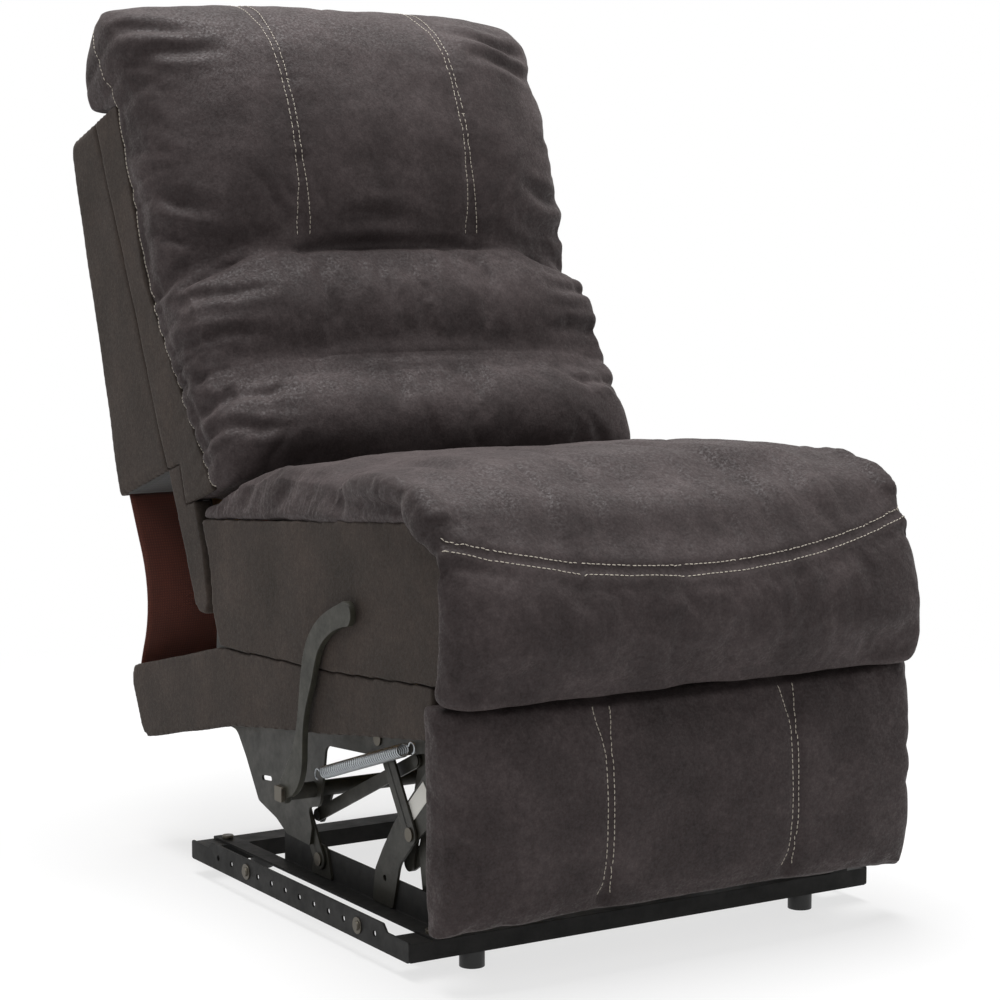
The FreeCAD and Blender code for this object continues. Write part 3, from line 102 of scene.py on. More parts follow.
# %% [markdown]
# The camera stands a little to the left of the chair and looks slightly down, from about three
# metres, as in the photograph. Vertical edges stay nearly parallel at that distance, which takes a
# long lens. The size of the sensor and the focal length are all that this needs.

# %% Camera
LOOKS_DOWN = 6.255
TURNED = 31.761
camera_data = bpy.data.cameras.new("camera")
camera_data.sensor_width = 36
camera_data.lens = 93.07
camera = bpy.data.objects.new("camera", camera_data)
camera.location = (-1.5721, -2.6169, 0.7751)
camera.rotation_euler = (math.radians(90 - LOOKS_DOWN), 0, math.radians(-TURNED))
scene.collection.objects.link(camera)
scene.camera = camera
print("camera at", [round(v, 3) for v in camera.location])

# %% [markdown]
# Every finish is a tree of shader nodes, worked out from real sizes in millimetres. One helper turns
# a colour written as an sRGB hex value to the linear value that the shader expects, another adds a
# node with its settings and its links, and the rest lay patches, tones and bumps.

# %% Helpers for materials
def linear(code):
    """An sRGB hex colour as linear red, green, blue and alpha."""
    parts = [int(code[n:n + 2], 16) / 255 for n in (1, 3, 5)]
    return [c / 12.92 if c <= 0.04045 else ((c + 0.055) / 1.055) ** 2.4 for c in parts] + [1]


def add(tree, kind, inputs=(), **settings):
    """Adds a shader node, sets it, and fills or links its inputs."""
    made = tree.nodes.new(kind)
    for name, value in settings.items():
        setattr(made, name, value)
    for key, value in dict(inputs).items():
        if isinstance(value, bpy.types.NodeSocket):
            tree.links.new(value, made.inputs[key])
        else:
            made.inputs[key].default_value = value
    return made


def start(name, values=()):
    """A new material with its shader, some set values, and the coordinates that its patterns read."""
    made = bpy.data.materials.new(name)
    made.use_nodes = True
    tree = made.node_tree
    shader = tree.nodes["Principled BSDF"]
    for key, value in dict(values).items():
        shader.inputs[key].default_value = value
    return made, tree, shader, add(tree, "ShaderNodeTexCoord").outputs["Object"]


def per_mm(size):
    """The scale that makes one feature of a pattern that many millimetres wide."""
    return 1 / (size * MM)


def patches(tree, place, size, detail, **more):
    """Soft noise whose features are that many millimetres wide."""
    inputs = {"Vector": place, "Scale": per_mm(size), "Detail": detail, **more}
    return add(tree, "ShaderNodeTexNoise", inputs).outputs[0]


def ranged(tree, value, low, high, at_low=0, at_high=1):
    """A value that goes from at_low to at_high while another goes from low to high."""
    inputs = {0: value, 1: low, 2: high, 3: at_low, 4: at_high}
    return add(tree, "ShaderNodeMapRange", inputs).outputs[0]


def coloured(tree, shader, share, dark, light):
    """Gives the shader a colour between two tones."""
    inputs = {0: share, 6: linear(dark), 7: linear(light)}
    tone = add(tree, "ShaderNodeMix", inputs, data_type="RGBA")
    tree.links.new(tone.outputs[2], shader.inputs["Base Color"])


def bumped(tree, shader, height, strength, depth):
    """Adds a bump some millimetres deep to those that the shader has already."""
    inputs = {"Strength": strength, "Distance": depth * MM, "Height": height}
    made = add(tree, "ShaderNodeBump", inputs)
    for link in shader.inputs["Normal"].links:
        tree.links.new(link.from_socket, made.inputs["Normal"])
    tree.links.new(made.outputs[0], shader.inputs["Normal"])


# %% [markdown]
# The cushions are covered in a coated microfibre suede: a brushed polyester cloth with a thin film
# that breaks into small pebbles. It looks brown grey, with cloudy patches where the nap lies another
# way, and the film glints on the pebbles that face the light. The pebbles are about a millimetre
# wide on the real cloth and are drawn at 2.4 mm, because finer ones wouldn't show in the picture.

# %% Coated microfibre suede
SUEDE = {
    "Sheen Weight": 0.07, "Sheen Roughness": 0.45, "Sheen Tint": linear("#d8ccc6"),
    "Specular IOR Level": 0.2,
}


def suede(name, dark, middle, light, pebble, bump, glint):
    """Microfibre suede: clouds of nap, fine pebbles with painted shade in the hollows between them, and
    a soft sheen at grazing angles.
    """
    made, tree, shader, place = start(name, SUEDE)
    cloud = patches(tree, place, 95, 5, Roughness=0.6)
    nap = patches(tree, place, 9, 6, Roughness=0.65)
    fine = patches(tree, place, 0.9, 2)
    film = patches(tree, place, 3.2, 3, Roughness=0.7)
    clouds = add(tree, "ShaderNodeMath", {0: cloud, 1: 0.62}, operation="MULTIPLY").outputs[0]
    mixed = add(tree, "ShaderNodeMath", {0: nap, 1: 0.38, 2: clouds}, operation="MULTIPLY_ADD")
    tones = add(tree, "ShaderNodeValToRGB", {"Fac": mixed.outputs[0]})
    ramp = tones.color_ramp
    ramp.elements[0].position, ramp.elements[0].color = 0.36, linear(dark)
    ramp.elements[1].position, ramp.elements[1].color = 0.66, linear(light)
    ramp.elements.new(0.5).color = linear(middle)
    grid = {"Vector": place, "Scale": per_mm(pebble)}
    cells = add(tree, "ShaderNodeTexVoronoi", grid, feature="F1")
    # The pebbles sink at their edges, and there the base colour is darkened to four fifths as painted
    # shade in the hollows between them.
    edge = ranged(tree, cells.outputs["Distance"], 0.1, 0.75, 1, 0.8)
    layers = {0: 1, 6: tones.outputs[0], 7: edge}
    shade = add(tree, "ShaderNodeMix", layers, data_type="RGBA", blend_type="MULTIPLY")
    tree.links.new(shade.outputs[2], shader.inputs["Base Color"])
    gloss = ranged(tree, film, 0.4, 0.66, 0.86, glint)
    tree.links.new(gloss, shader.inputs["Roughness"])
    bumped(tree, shader, edge, bump, 0.5)
    bumped(tree, shader, fine, 0.35 * bump, 0.4)
    bumped(tree, shader, nap, 0.3, 2)
    return made


cushion_suede = suede("coated microfibre suede", "#2f2828", "#3c3434", "#4e4545", 2.4, 0.55, 0.48)
panel_suede = suede("plain microfibre suede", "#2a241f", "#362e29", "#443a34", 1.6, 0.3, 0.66)
print("suedes:", cushion_suede.name, "and", panel_suede.name)

# %% [markdown]
# The seams are sewn with a thick beige polyester thread, which reads as a row of pale dashes.
# The flap behind the seat is lined with a red-brown cotton, and the bottom of the back is closed
# with black spunbond cloth, whose fibres are pressed together in a fine grid of dots.

# %% Thread and lining cloths
def thread():
    """Beige upholstery thread, with the slant of its twist."""
    values = {"Roughness": 0.6, "Sheen Weight": 0.2}
    made, tree, shader, place = start("beige polyester thread", values)
    twist = patches(tree, place, 1.2, 2)
    coloured(tree, shader, twist, "#a39a8c", "#cfc7b9")
    bumped(tree, shader, twist, 0.5, 0.3)
    return made


def woven(name, dark, light, yarn, rough):
    """A plain cloth: yarns that cross, a little uneven, in two near tones."""
    made, tree, shader, place = start(name, {"Roughness": rough, "Sheen Weight": 0.15})
    full_wave = 6.28
    inputs = {"Vector": place, "Scale": per_mm(yarn) / full_wave, "Distortion": 1.2}
    across = add(tree, "ShaderNodeTexWave", inputs, bands_direction="X").outputs["Fac"]
    down = add(tree, "ShaderNodeTexWave", inputs, bands_direction="Z").outputs["Fac"]
    weave = add(tree, "ShaderNodeMath", {0: across, 1: down}, operation="MULTIPLY").outputs[0]
    cloud = patches(tree, place, 40, 4)
    mixed = add(tree, "ShaderNodeMath", {0: cloud, 1: 0.7, 2: weave}, operation="MULTIPLY_ADD")
    coloured(tree, shader, mixed.outputs[0], dark, light)
    bumped(tree, shader, weave, 0.5, 0.3)
    return made


stitch_thread = thread()
lining = woven("red-brown cotton lining", "#3d1a12", "#5e2b1d", 1.6, 0.85)
cambric = woven("black spunbond cloth", "#131313", "#2a2928", 2.2, 0.75)
print("cloths:", lining.name, "and", cambric.name)

# %% [markdown]
# The mechanism is stamped steel with a dark olive-brown dip coat. A dip coat flows a little before it
# is baked, so it is smooth but not flat, and it is thinner and slightly lighter on edges and where
# arms rub. The tubes and rails at the floor are powder coated black, which has a finer, drier peel.

# %% Painted steel
def paint(name, dark, light, rough, peel, specular):
    """Baked paint on stamped steel: a soft orange peel, and patches of handling marks."""
    made, tree, shader, place = start(name, {"Specular IOR Level": specular})
    marks = patches(tree, place, 26, 6, Roughness=0.7)
    coloured(tree, shader, ranged(tree, marks, 0.38, 0.68), dark, light)
    gloss = ranged(tree, marks, 0.3, 0.7, rough + 0.1, rough - 0.08)
    tree.links.new(gloss, shader.inputs["Roughness"])
    bumped(tree, shader, patches(tree, place, peel, 2), 0.25, 0.2)
    return made


mechanism_paint = paint("olive-brown dip coat", "#201f1a", "#312f28", 0.46, 1.6, 0.28)
lever_paint = paint("olive-grey lever paint", "#272620", "#39382f", 0.46, 1.2, 0.25)
base_paint = paint("black powder coat", "#121211", "#1d1c1b", 0.6, 0.9, 0.2)

# %% [markdown]
# Bare metals keep the shader's own IOR. Spring wire is zinc plated, bright with a faint blue cast,
# with fine marks from the drawing. Rivet heads and nuts are dark from their oil finish.

# %% Plated and oiled metals
def metal(name, dark, light, rough, grain):
    """A bare or plated metal with drawn or turned marks."""
    made, tree, shader, place = start(name, {"Metallic": 1})
    marks = patches(tree, place, grain, 5, Roughness=0.6)
    coloured(tree, shader, marks, dark, light)
    gloss = ranged(tree, marks, 0.3, 0.7, rough - 0.08, rough + 0.1)
    tree.links.new(gloss, shader.inputs["Roughness"])
    bumped(tree, shader, marks, 0.15, 0.1)
    return made


zinc = metal("zinc plated spring wire", "#8b8f93", "#bcc0c3", 0.34, 3)
oiled_steel = metal("oiled dark steel", "#4a463f", "#6b665d", 0.42, 4)

# %% [markdown]
# The feet are moulded black polypropylene with a fine spark texture, the boards of the seat box are
# plywood with a long face grain, and the filling is open-cell polyurethane foam, pale and matte.

# %% Plastic, wood, foam and label film
def moulded(name, dark, light):
    """Moulded plastic with the fine texture of a spark-eroded mould."""
    made, tree, shader, place = start(name, {"Roughness": 0.52})
    spark = patches(tree, place, 0.8, 3)
    coloured(tree, shader, spark, dark, light)
    bumped(tree, shader, spark, 0.3, 0.15)
    return made


def plywood():
    """Rotary-cut plywood: long cathedral grain that runs front to back, with a fine bump of small
    pores.
    """
    made, tree, shader, place = start("rotary-cut plywood", {"Roughness": 0.66})
    longer = add(tree, "ShaderNodeMapping", {"Vector": place, "Scale": (1, 0.08, 1)}).outputs[0]
    rings = patches(tree, longer, 14, 8, Roughness=0.65, Distortion=1.5)
    coloured(tree, shader, rings, "#8f6a41", "#caa878")
    bumped(tree, shader, patches(tree, longer, 1.5, 2), 0.3, 0.3)
    return made


def open_foam():
    """Open-cell polyurethane foam: pale cream with round pores, sunk as a bump and darkened inside as
    painted shade.
    """
    made, tree, shader, place = start("open-cell polyurethane foam", {"Roughness": 0.95})
    cells = add(tree, "ShaderNodeTexVoronoi", {"Vector": place, "Scale": per_mm(2.5)})
    pores = cells.outputs["Distance"]
    # The colour darkens towards the middle of each pore: painted shade in its hollow.
    coloured(tree, shader, pores, "#b9a67c", "#e2d5b0")
    bumped(tree, shader, pores, 0.6, 0.6)
    return made


glide_plastic = moulded("moulded black polypropylene", "#0f0f0f", "#1e1e1e")
label_film = moulded("blank satin label film", "#cfcdc6", "#dedcd6")
wood = plywood()
foam_cells = open_foam()
print(len(bpy.data.materials), "materials in all")

# %% [markdown]
# Steel pieces keep their CAD mesh. It is made of loose triangles, so a Weld modifier joins them and
# a Bevel modifier then breaks the sharp stamped edges, which lets them catch a thin line of light.
# Each finish goes into the material slots of the node, and the mesh itself isn't touched.

# %% Finish the rigid CAD nodes
FINISHES = [
    (base_paint, 0.45, ["front_cross_tube", "rear_cross_tube", "left_base_rail", "right_base_rail",
                        "left_side_rail", "right_side_rail"]),
    (oiled_steel, 0.45, ["side_rail_studs", "base_bolts", "base_pivot_pins", "seat_pivot_pins",
                         "lever_nut"]),
    (glide_plastic, 1.2, ["floor_glides"]),
    (mechanism_paint, 0.45, ["left_front_upright", "right_front_upright", "rear_uprights",
                             "front_swing_links", "rear_swing_links", "left_seat_plate",
                             "right_seat_plate", "footrest_hangers", "back_brackets",
                             "torque_tube", "drive_links", "front_arms", "rear_arms",
                             "lower_arms", "outer_arms", "footrest_brackets"]),
    (lever_paint, 1.8, ["lever"]),
    (wood, 1.2, ["left_side_board", "right_side_board", "front_rail", "rear_rail",
                 "left_back_post", "right_back_post", "back_rails", "footrest_board"]),
]


def finish_node(name, material, edge):
    """Gives a CAD node its finish and breaks its edges."""
    node = nodes[name]
    if not node.material_slots:
        node.data.materials.append(material)
    for held in node.material_slots:
        held.material = material
    weld = node.modifiers.new("weld", "WELD")
    weld.merge_threshold = 0.01 * MM
    bevel = node.modifiers.new("edge", "BEVEL")
    bevel.width = edge * MM
    bevel.segments = 2
    bevel.limit_method = "ANGLE"
    bevel.angle_limit = math.radians(40)


for material, edge, names in FINISHES:
    for name in names:
        finish_node(name, material, edge)
print(sum(len(names) for _, _, names in FINISHES), "rigid nodes finished")

# %% [markdown]
# A sewn cushion is a bag of cloth that its filling pushes out everywhere but at its seams. The way
# here follows that. A copy of the CAD solid is remeshed into even squares and shrunk a little, then
# the cloth solver blows it up from inside while the parts near its neighbours and seams are held.
# How far a point may move is capped, so that the cushion keeps its measured size.

# %% Helpers for meshes
def read(piece):
    """The places and the normals of a piece's vertices."""
    count = len(piece.data.vertices)
    places, normals = np.empty(3 * count), np.empty(3 * count)
    piece.data.vertices.foreach_get("co", places)
    piece.data.vertices.foreach_get("normal", normals)
    return places.reshape(-1, 3), normals.reshape(-1, 3)


def write(piece, places):
    """Moves a piece's vertices."""
    piece.data.vertices.foreach_set("co", places.ravel())
    piece.data.update()


def copy_of(node, name):
    """A copy of a CAD node's mesh as a new piece, with its triangles joined."""
    piece = bpy.data.objects.new(name, nodes[node].data.copy())
    scene.collection.objects.link(piece)
    piece.data.materials.clear()
    only(piece)
    bpy.ops.object.mode_set(mode="EDIT")
    bpy.ops.mesh.select_all(action="SELECT")
    bpy.ops.mesh.remove_doubles(threshold=0.02 * MM)
    bpy.ops.object.mode_set(mode="OBJECT")
    return piece


def applied(piece, kind, **settings):
    """Adds a modifier, sets it, and applies it."""
    made = piece.modifiers.new(kind, kind)
    for name, value in settings.items():
        setattr(made, name, value)
    only(piece)
    bpy.ops.object.modifier_apply(modifier=made.name)


OVERLAP = 0.6


def remeshed(name, sources, voxel, rounds, extra=()):
    """One even mesh in the shape of some CAD nodes and loose forms, with its corners softened."""
    parts = [copy_of(node, f"{name}_{n}") for n, node in enumerate(sources)]
    if len(parts) > 1:
        for part in parts:
            places, normals = read(part)
            write(part, places + normals * OVERLAP * MM)
    deselect()
    for part in [*parts, *extra]:
        part.select_set(True)
    bpy.context.view_layer.objects.active = parts[0]
    if len(parts) + len(extra) > 1:
        bpy.ops.object.join()
    piece = bpy.context.object
    piece.name = name
    applied(piece, "REMESH", mode="VOXEL", voxel_size=voxel * MM)
    applied(piece, "SMOOTH", factor=0.5, iterations=rounds)
    return piece


def slab(near, far, outline):
    """A closed form between two distances across, from an outline in depth and height."""
    deselect()
    bpy.ops.mesh.primitive_circle_add(vertices=len(outline), fill_type="NGON")
    made = bpy.context.object
    write(made, np.array([spot(near, depth, height) for depth, height in outline]))
    bpy.ops.object.mode_set(mode="EDIT")
    bpy.ops.mesh.select_all(action="SELECT")
    bpy.ops.mesh.extrude_region_move(TRANSFORM_OT_translate={"value": ((far - near) * MM, 0, 0)})
    bpy.ops.mesh.select_all(action="SELECT")
    bpy.ops.mesh.normals_make_consistent(inside=False)
    bpy.ops.object.mode_set(mode="OBJECT")
    return made


def tree_from(mesh):
    """A search tree over the faces of a mesh."""
    faces = [tuple(face.vertices) for face in mesh.polygons]
    return BVHTree.FromPolygons([v.co for v in mesh.vertices], faces)


TREES = {}


def tree_of(node):
    """A search tree over the faces of a CAD node, kept for the next use."""
    if node not in TREES:
        TREES[node] = tree_from(nodes[node].data)
    return TREES[node]


def closeness(places, neighbours, full, none):
    """1 for points nearer to a neighbour than full, falling to 0 at none, in millimetres."""
    nearest = np.full(len(places), none * MM)
    for node in neighbours:
        tree = tree_of(node)
        for n, place in enumerate(places):
            found = tree.find_nearest(Vector(place), nearest[n])
            if found[3] is not None:
                nearest[n] = found[3]
    return eased(nearest, full, none)


def eased(distances, full, none):
    """1 for distances up to full, falling smoothly to 0 at none, in millimetres."""
    share = np.clip((none * MM - distances) / ((none - full) * MM), 0, 1)
    return share * share * (3 - 2 * share)


# %% [markdown]
# Seams and folds are drawn as paths, lists of points that the cloth follows. Each vertex near a path
# learns how far it is from it and how far along it lies. A crease pulls the cloth in along the path,
# and gathers run out from it as short uneven folds, sharp in the valleys and round on the ridges.

# %% Helpers for seams and folds
def sampled(path, step=2.0):
    """Even points along a path, and how far along each one lies, in metres."""
    points = [Vector(p) for p in path]
    out, lengths, total = [], [], 0.0
    for a, b in zip(points, points[1:]):
        count = max(1, round((b - a).length / (step * MM)))
        for n in range(count):
            out.append(a.lerp(b, n / count))
            lengths.append(total + (b - a).length * n / count)
        total += (b - a).length
    return out + [points[-1]], lengths + [total]


def smooth_path(path, rounds=3):
    """The same path with its corners cut, so that a seam runs in a curve."""
    points = [Vector(p) for p in path]
    for _ in range(rounds):
        cut = [points[0]]
        for a, b in zip(points, points[1:]):
            cut += [a.lerp(b, 0.25), a.lerp(b, 0.75)]
        points = cut + [points[-1]]
    return points


def from_path(places, path):
    """Each vertex's distance from a path, and its place along the path."""
    points, lengths = sampled(path)
    tree = KDTree(len(points))
    for n, point in enumerate(points):
        tree.insert(point, n)
    tree.balance()
    found = [tree.find(place) for place in places]
    return np.array([f[2] for f in found]), np.array([lengths[f[1]] for f in found])


def along_seams(places, paths, full, none):
    """1 for points on one of some paths, falling to 0 beside it."""
    return eased(np.min([from_path(places, path)[0] for path in paths], axis=0), full, none)


def crease(piece, path, width, depth):
    """Pulls the cloth in along a path."""
    places, normals = read(piece)
    away, _ = from_path(places, path)
    sink = depth * MM * np.exp(-(away / (width * MM)) ** 2)
    write(piece, places - normals * sink[:, None])


def folds(piece, lines, width, depth):
    """Single folds along short lines near the cloth: a valley with a ridge on each side."""
    places, normals = read(piece)
    tree = tree_from(piece.data)
    sink = np.zeros(len(places))
    for line in lines:
        path = [tree.find_nearest(point)[0] for point in smooth_path(line, 2)]
        middle = sum(path, Vector()) / len(path)
        reach = max((point - middle).length for point in path) + 4 * width * MM
        close = np.linalg.norm(places - np.array(middle), axis=1) < reach
        away, along = from_path(places[close], path)
        ends = np.sin(math.pi * np.clip(along / max(along.max(), 1e-6), 0.04, 0.96)) ** 0.5
        step = away / (width * MM)
        sink[close] += ends * (np.exp(-step ** 2) - 0.4 * np.exp(-(step - 1.9) ** 2))
    write(piece, places - normals * (depth * MM * sink)[:, None])


def gathers(piece, path, spacing, reach, depth, seed):
    """Short uneven folds that run out from a path."""
    places, normals = read(piece)
    away, along = from_path(places, path)
    chance = np.random.default_rng(seed)
    cells = int(along.max() / (spacing * MM)) + 3
    knots = (np.arange(cells) + chance.uniform(-0.3, 0.3, cells)) * spacing * MM
    phase = np.interp(along, knots, np.arange(cells))
    strong = np.interp(phase, np.arange(cells), chance.uniform(0.15, 1, cells))
    length = np.interp(phase, np.arange(cells), chance.uniform(0.4, 1.3, cells)) * reach * MM
    fold = np.abs(np.sin(math.pi * phase)) ** 0.6 - 0.62
    lift = depth * MM * strong * fold * np.exp(-(away / length) ** 1.4)
    write(piece, places + normals * lift[:, None])


def rumple(piece, size, depth, seed):
    """The slow unevenness of a hand-filled cushion."""
    places, normals = read(piece)
    shift = Vector((seed * 7.3, seed * 3.1, seed * 5.7))
    lift = np.array([noise.noise(Vector(p) / (size * MM) + shift) for p in places])
    write(piece, places + normals * (lift * depth * MM)[:, None])


# %% [markdown]
# The cloth solver gets its own function. Gravity is off, because the filling carries the cover, and
# a little slack in the cloth lets it pucker where it is held. The same steps give the same shape at
# each run.

# %% Fill a cushion with the cloth solver
def filled(piece, held, pressure, slack, shrink, cap):
    """Blows a cushion up from inside, with its held points fixed and its travel capped."""
    places, normals = read(piece)
    free = (1 - held)[:, None]
    rest = places - normals * shrink * MM * free
    write(piece, rest)
    group = piece.vertex_groups.new(name="held")
    for n, weight in enumerate(held):
        group.add([n], float(weight), "REPLACE")
    cloth = piece.modifiers.new("CLOTH", "CLOTH")
    settings = cloth.settings
    settings.quality = 4
    settings.mass = 0.3
    settings.tension_stiffness = settings.compression_stiffness = 12
    settings.shear_stiffness = 5
    settings.bending_stiffness = 0.4
    settings.use_pressure = True
    settings.uniform_pressure_force = pressure
    settings.vertex_group_mass = "held"
    settings.shrink_min = -slack
    settings.effector_weights.gravity = 0
    cloth.collision_settings.use_collision = False
    only(piece)
    for step in range(1, 21):
        scene.frame_set(step)
    bpy.ops.object.modifier_apply(modifier=cloth.name)
    scene.frame_set(1)
    piece.vertex_groups.clear()
    moved, _ = read(piece)
    travel = moved - rest
    length = np.linalg.norm(travel, axis=1)
    limit = (cap + shrink) * MM
    least = 1e-9
    capped = limit * np.tanh(length / limit)
    scale = np.where(length > least, capped / np.maximum(length, least), 0)
    write(piece, rest + travel * scale[:, None] * free)
    applied(piece, "SMOOTH", factor=0.5, iterations=1)
    applied(piece, "SUBSURF", levels=1, render_levels=1)


def coated(piece, *materials):
    """Gives a piece its materials, and smooth faces in the first of them."""
    piece.data.materials.clear()
    for material in materials:
        piece.data.materials.append(material)
    count = len(piece.data.polygons)
    piece.data.polygons.foreach_set("material_index", [0] * count)
    piece.data.polygons.foreach_set("use_smooth", [True] * count)


def dressed(piece, material, body, slot, *replaced):
    """Gives a finished piece its material and its body, and hides the solids it stands for; slot is not
    used.
    """
    coated(piece, material)
    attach(piece, body)
    if replaced:
        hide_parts(*replaced)
    print(piece.name, len(piece.data.polygons), "faces")


# %% [markdown]
# Stitches are real pieces of thread here: one small capsule is modelled, and its copies are laid
# along a path on the finished cloth, half sunk into it. The thread is about a millimetre thick, one
# stitch is 4.6 mm long, and the next one starts 5.8 mm further on.

# %% Helper for stitches
THREAD = 1.15 * MM
STITCH = 4.6 * MM
STITCH_STEP = 5.8 * MM
FARTHEST = 0.03
deselect()
bpy.ops.mesh.primitive_uv_sphere_add(segments=6, ring_count=5, radius=0.5)
stitch_model = bpy.context.object
STITCH_PLACES = np.array([v.co for v in stitch_model.data.vertices]) * (THREAD, THREAD, STITCH)
STITCH_FACES = [tuple(face.vertices) for face in stitch_model.data.polygons]
bpy.data.objects.remove(stitch_model)


def stitched(name, piece, paths, body):
    """Rows of stitches along paths, laid on the surface of a piece."""
    tree = tree_from(piece.data)
    places, faces = [], []
    for path in paths:
        points, lengths = sampled(path, 0.5)
        last = len(points) - 1
        count = int(lengths[-1] / STITCH_STEP)
        for n in range(count):
            here = int((n + 0.5) / count * last)
            seat, normal, _, gap = tree.find_nearest(points[here])
            onward = tree.find_nearest(points[min(last, here + 4)])[0]
            if gap > FARTHEST or (onward - seat).length < 1e-6:
                continue
            run = (onward - seat).normalized()
            side = normal.cross(run).normalized()
            rise = run.cross(side)
            turned = STITCH_PLACES @ np.array([side, rise, run])
            base = len(places)
            places += [tuple(p) for p in turned + np.array(seat + normal * 0.25 * MM)]
            faces += [tuple(base + v for v in face) for face in STITCH_FACES]
    mesh = bpy.data.meshes.new(name)
    mesh.from_pydata(places, [], faces)
    made = bpy.data.objects.new(name, mesh)
    scene.collection.objects.link(made)
    dressed(made, stitch_thread, body, "cushion_cover")


# %% [markdown]
# The back is one cover over three pillows. The headrest rolls over the top of the frame and sweeps down
# to a deep arched seam, below it two pillows support the small of the back, and all three are sewn to
# the side boxing. The three solids are joined before the remesh, so the cloth runs on over the seams.

# %% Seams of the back
BACK_NODES = ("headrest_cushion", "lumbar_cushion", "lower_back_cushion")
BACK_SIDE = 290
SEWN_LINE = 118
SIDES = ((-1, "left"), (1, "right"))


def boxing_path(side, low, high):
    """The sewn edge between the pillows of the back and their side boxing."""
    stations = [
        (392, 606), (440, 703), (467, 798), (494, 880), (502, 1086), (522, 1170), (540, 1222),
    ]
    return smooth_path([back_spot(side * BACK_SIDE, n, v) for n, v in stations if low <= v <= high])


def channel_path(across, offset):
    """One line of stitching down the front of the headrest."""
    stations = [
        (530, 1262), (470, 1250), (430, 1215), (398, 1150), (384, 1080), (376, 1000), (378, 950),
        (388, 912),
    ]
    return smooth_path([back_spot(across + offset, n, v) for n, v in stations])


def arch(reach, dip, climb, rise):
    """A seam across the back, given at its sides and by how much its middle lies forward and up."""
    shares = [(x, 1 - (x / BACK_SIDE) ** 2) for x in range(-BACK_SIDE, BACK_SIDE + 1, 20)]
    return smooth_path([back_spot(x, reach - dip * t, climb + rise * t) for x, t in shares])


head_arch = arch(414, 20, 862, 41)
low_arch = arch(392, 22, 738, 12)

# %% [markdown]
# The cover is filled with its seams held. The lower seam is only stitched through, so it is lifted
# before it is filled. Folds then run in from the boxing, where the cloth is gathered to fit, and the
# corners of the headrest have a few deep ones, as a soft cover has that is wider than its filling.

# %% Back cushion
back_pad = remeshed("back_pad", BACK_NODES, 6, 4)
crease(back_pad, low_arch, 22, -9)
places = read(back_pad)[0]
neighbours = ("back_rails", "left_back_boxing", "right_back_boxing", "back_shell")
held = closeness(places, neighbours, 4, 20)
held = np.maximum(held, along_seams(places, [head_arch, low_arch], 5, 34))
filled(back_pad, held, 5, 0.03, 3, 10)
crease(back_pad, head_arch, 9, 11)
crease(back_pad, head_arch, 4, 4)
crease(back_pad, low_arch, 8, 6)
crease(back_pad, low_arch, 4, 3)
for side in (-1, 1):
    gathers(back_pad, boxing_path(side, 860, 1300), 44, 58, 4 - 0.7 * side, 3 + side)
    gathers(back_pad, boxing_path(side, 600, 900), 27, 70, 5 - side, 31 + side)
    crease(back_pad, channel_path(side * SEWN_LINE, 0), 7, 3)
    gathers(back_pad, channel_path(side * SEWN_LINE, 0), 34, 18, 1.8, 13 + side)
gathers(back_pad, head_arch, 62, 34, 4, 21)
gathers(back_pad, low_arch, 66, 26, 3, 53)
HEAD_FOLDS = [
    [(-292, 470, 1196), (-262, 408, 1206), (-226, 396, 1192)],
    [(-290, 450, 1150), (-256, 404, 1160), (-196, 392, 1150)],
    [(-292, 440, 936), (-262, 406, 914), (-214, 392, 900)],
    [(-292, 440, 980), (-270, 410, 962), (-240, 398, 948)],
    [(142, 392, 1206), (196, 394, 1186), (252, 408, 1176), (290, 440, 1180)],
    [(164, 388, 1150), (216, 392, 1146), (270, 412, 1136)],
    [(190, 388, 930), (236, 396, 916), (288, 430, 930)],
    [(204, 386, 974), (252, 400, 962), (290, 440, 976)],
    [(-60, 372, 926), (-20, 372, 934), (24, 372, 928)],
]
LOW_FOLDS = [
    [(-292, 430, 842), (-244, 388, 834), (-186, 374, 838)],
    [(-292, 420, 786), (-248, 380, 790), (-204, 368, 786)],
    [(-292, 410, 706), (-246, 366, 702), (-190, 352, 706)],
    [(-292, 400, 664), (-250, 360, 668), (-210, 350, 664)],
    [(292, 430, 838), (250, 388, 832), (206, 374, 838)],
    [(292, 420, 784), (246, 380, 788), (196, 366, 782)],
    [(292, 410, 704), (248, 366, 702), (206, 352, 706)],
]
folds(back_pad, placed(HEAD_FOLDS, back_spot), 10, 6)
folds(back_pad, placed(LOW_FOLDS, back_spot), 8, 4)
rumple(back_pad, 75, 3.2, 1)
rumple(back_pad, 24, 0.9, 8)
dressed(back_pad, cushion_suede, "back", "cushion_cover", *BACK_NODES)
rows = [channel_path(side * SEWN_LINE, offset) for side in (-1, 1) for offset in (-6, 6)]
stitched("headrest_stitches", back_pad, rows, "back")

# %% [markdown]
# The seat is one wide cushion that rolls down over the front. A seam across it, a hand's length behind
# the front, pulls the cover in and makes folds that fan out over the roll. Its sides are shirred: a
# narrow strip of fine close gathers above the plain side panel.

# %% Seat cushion
def seam_smile(offset, drop=0.0):
    """The curved seam between the seat cushion and the front pillow, lowest in the middle."""
    half, depth, bow, height, dip, lift = 305, 19, 38, 453, 43, 7
    out = []
    for x in range(-300, 301, 20):
        t = 1 - (x / half) ** 2
        out.append(spot(x, depth - bow * t - offset, height - dip * t + lift - drop))
    return smooth_path(out, 1)


def cross_seam():
    """The seam across the seat behind its front roll."""
    depth, sway, height, dip = 262, 10, 505, 25
    out = []
    for x in range(-288, 289, 24):
        out.append(spot(x, depth + sway * math.cos(x / 95), height - dip * (x / 290) ** 2))
    return smooth_path(out, 1)


def front_roll():
    """The fullest line of the front roll, between the cross seam and the curved seam."""
    return [spot(x, 62 - 24 * (1 - (x / 300) ** 2), 480) for x in range(-280, 281, 20)]


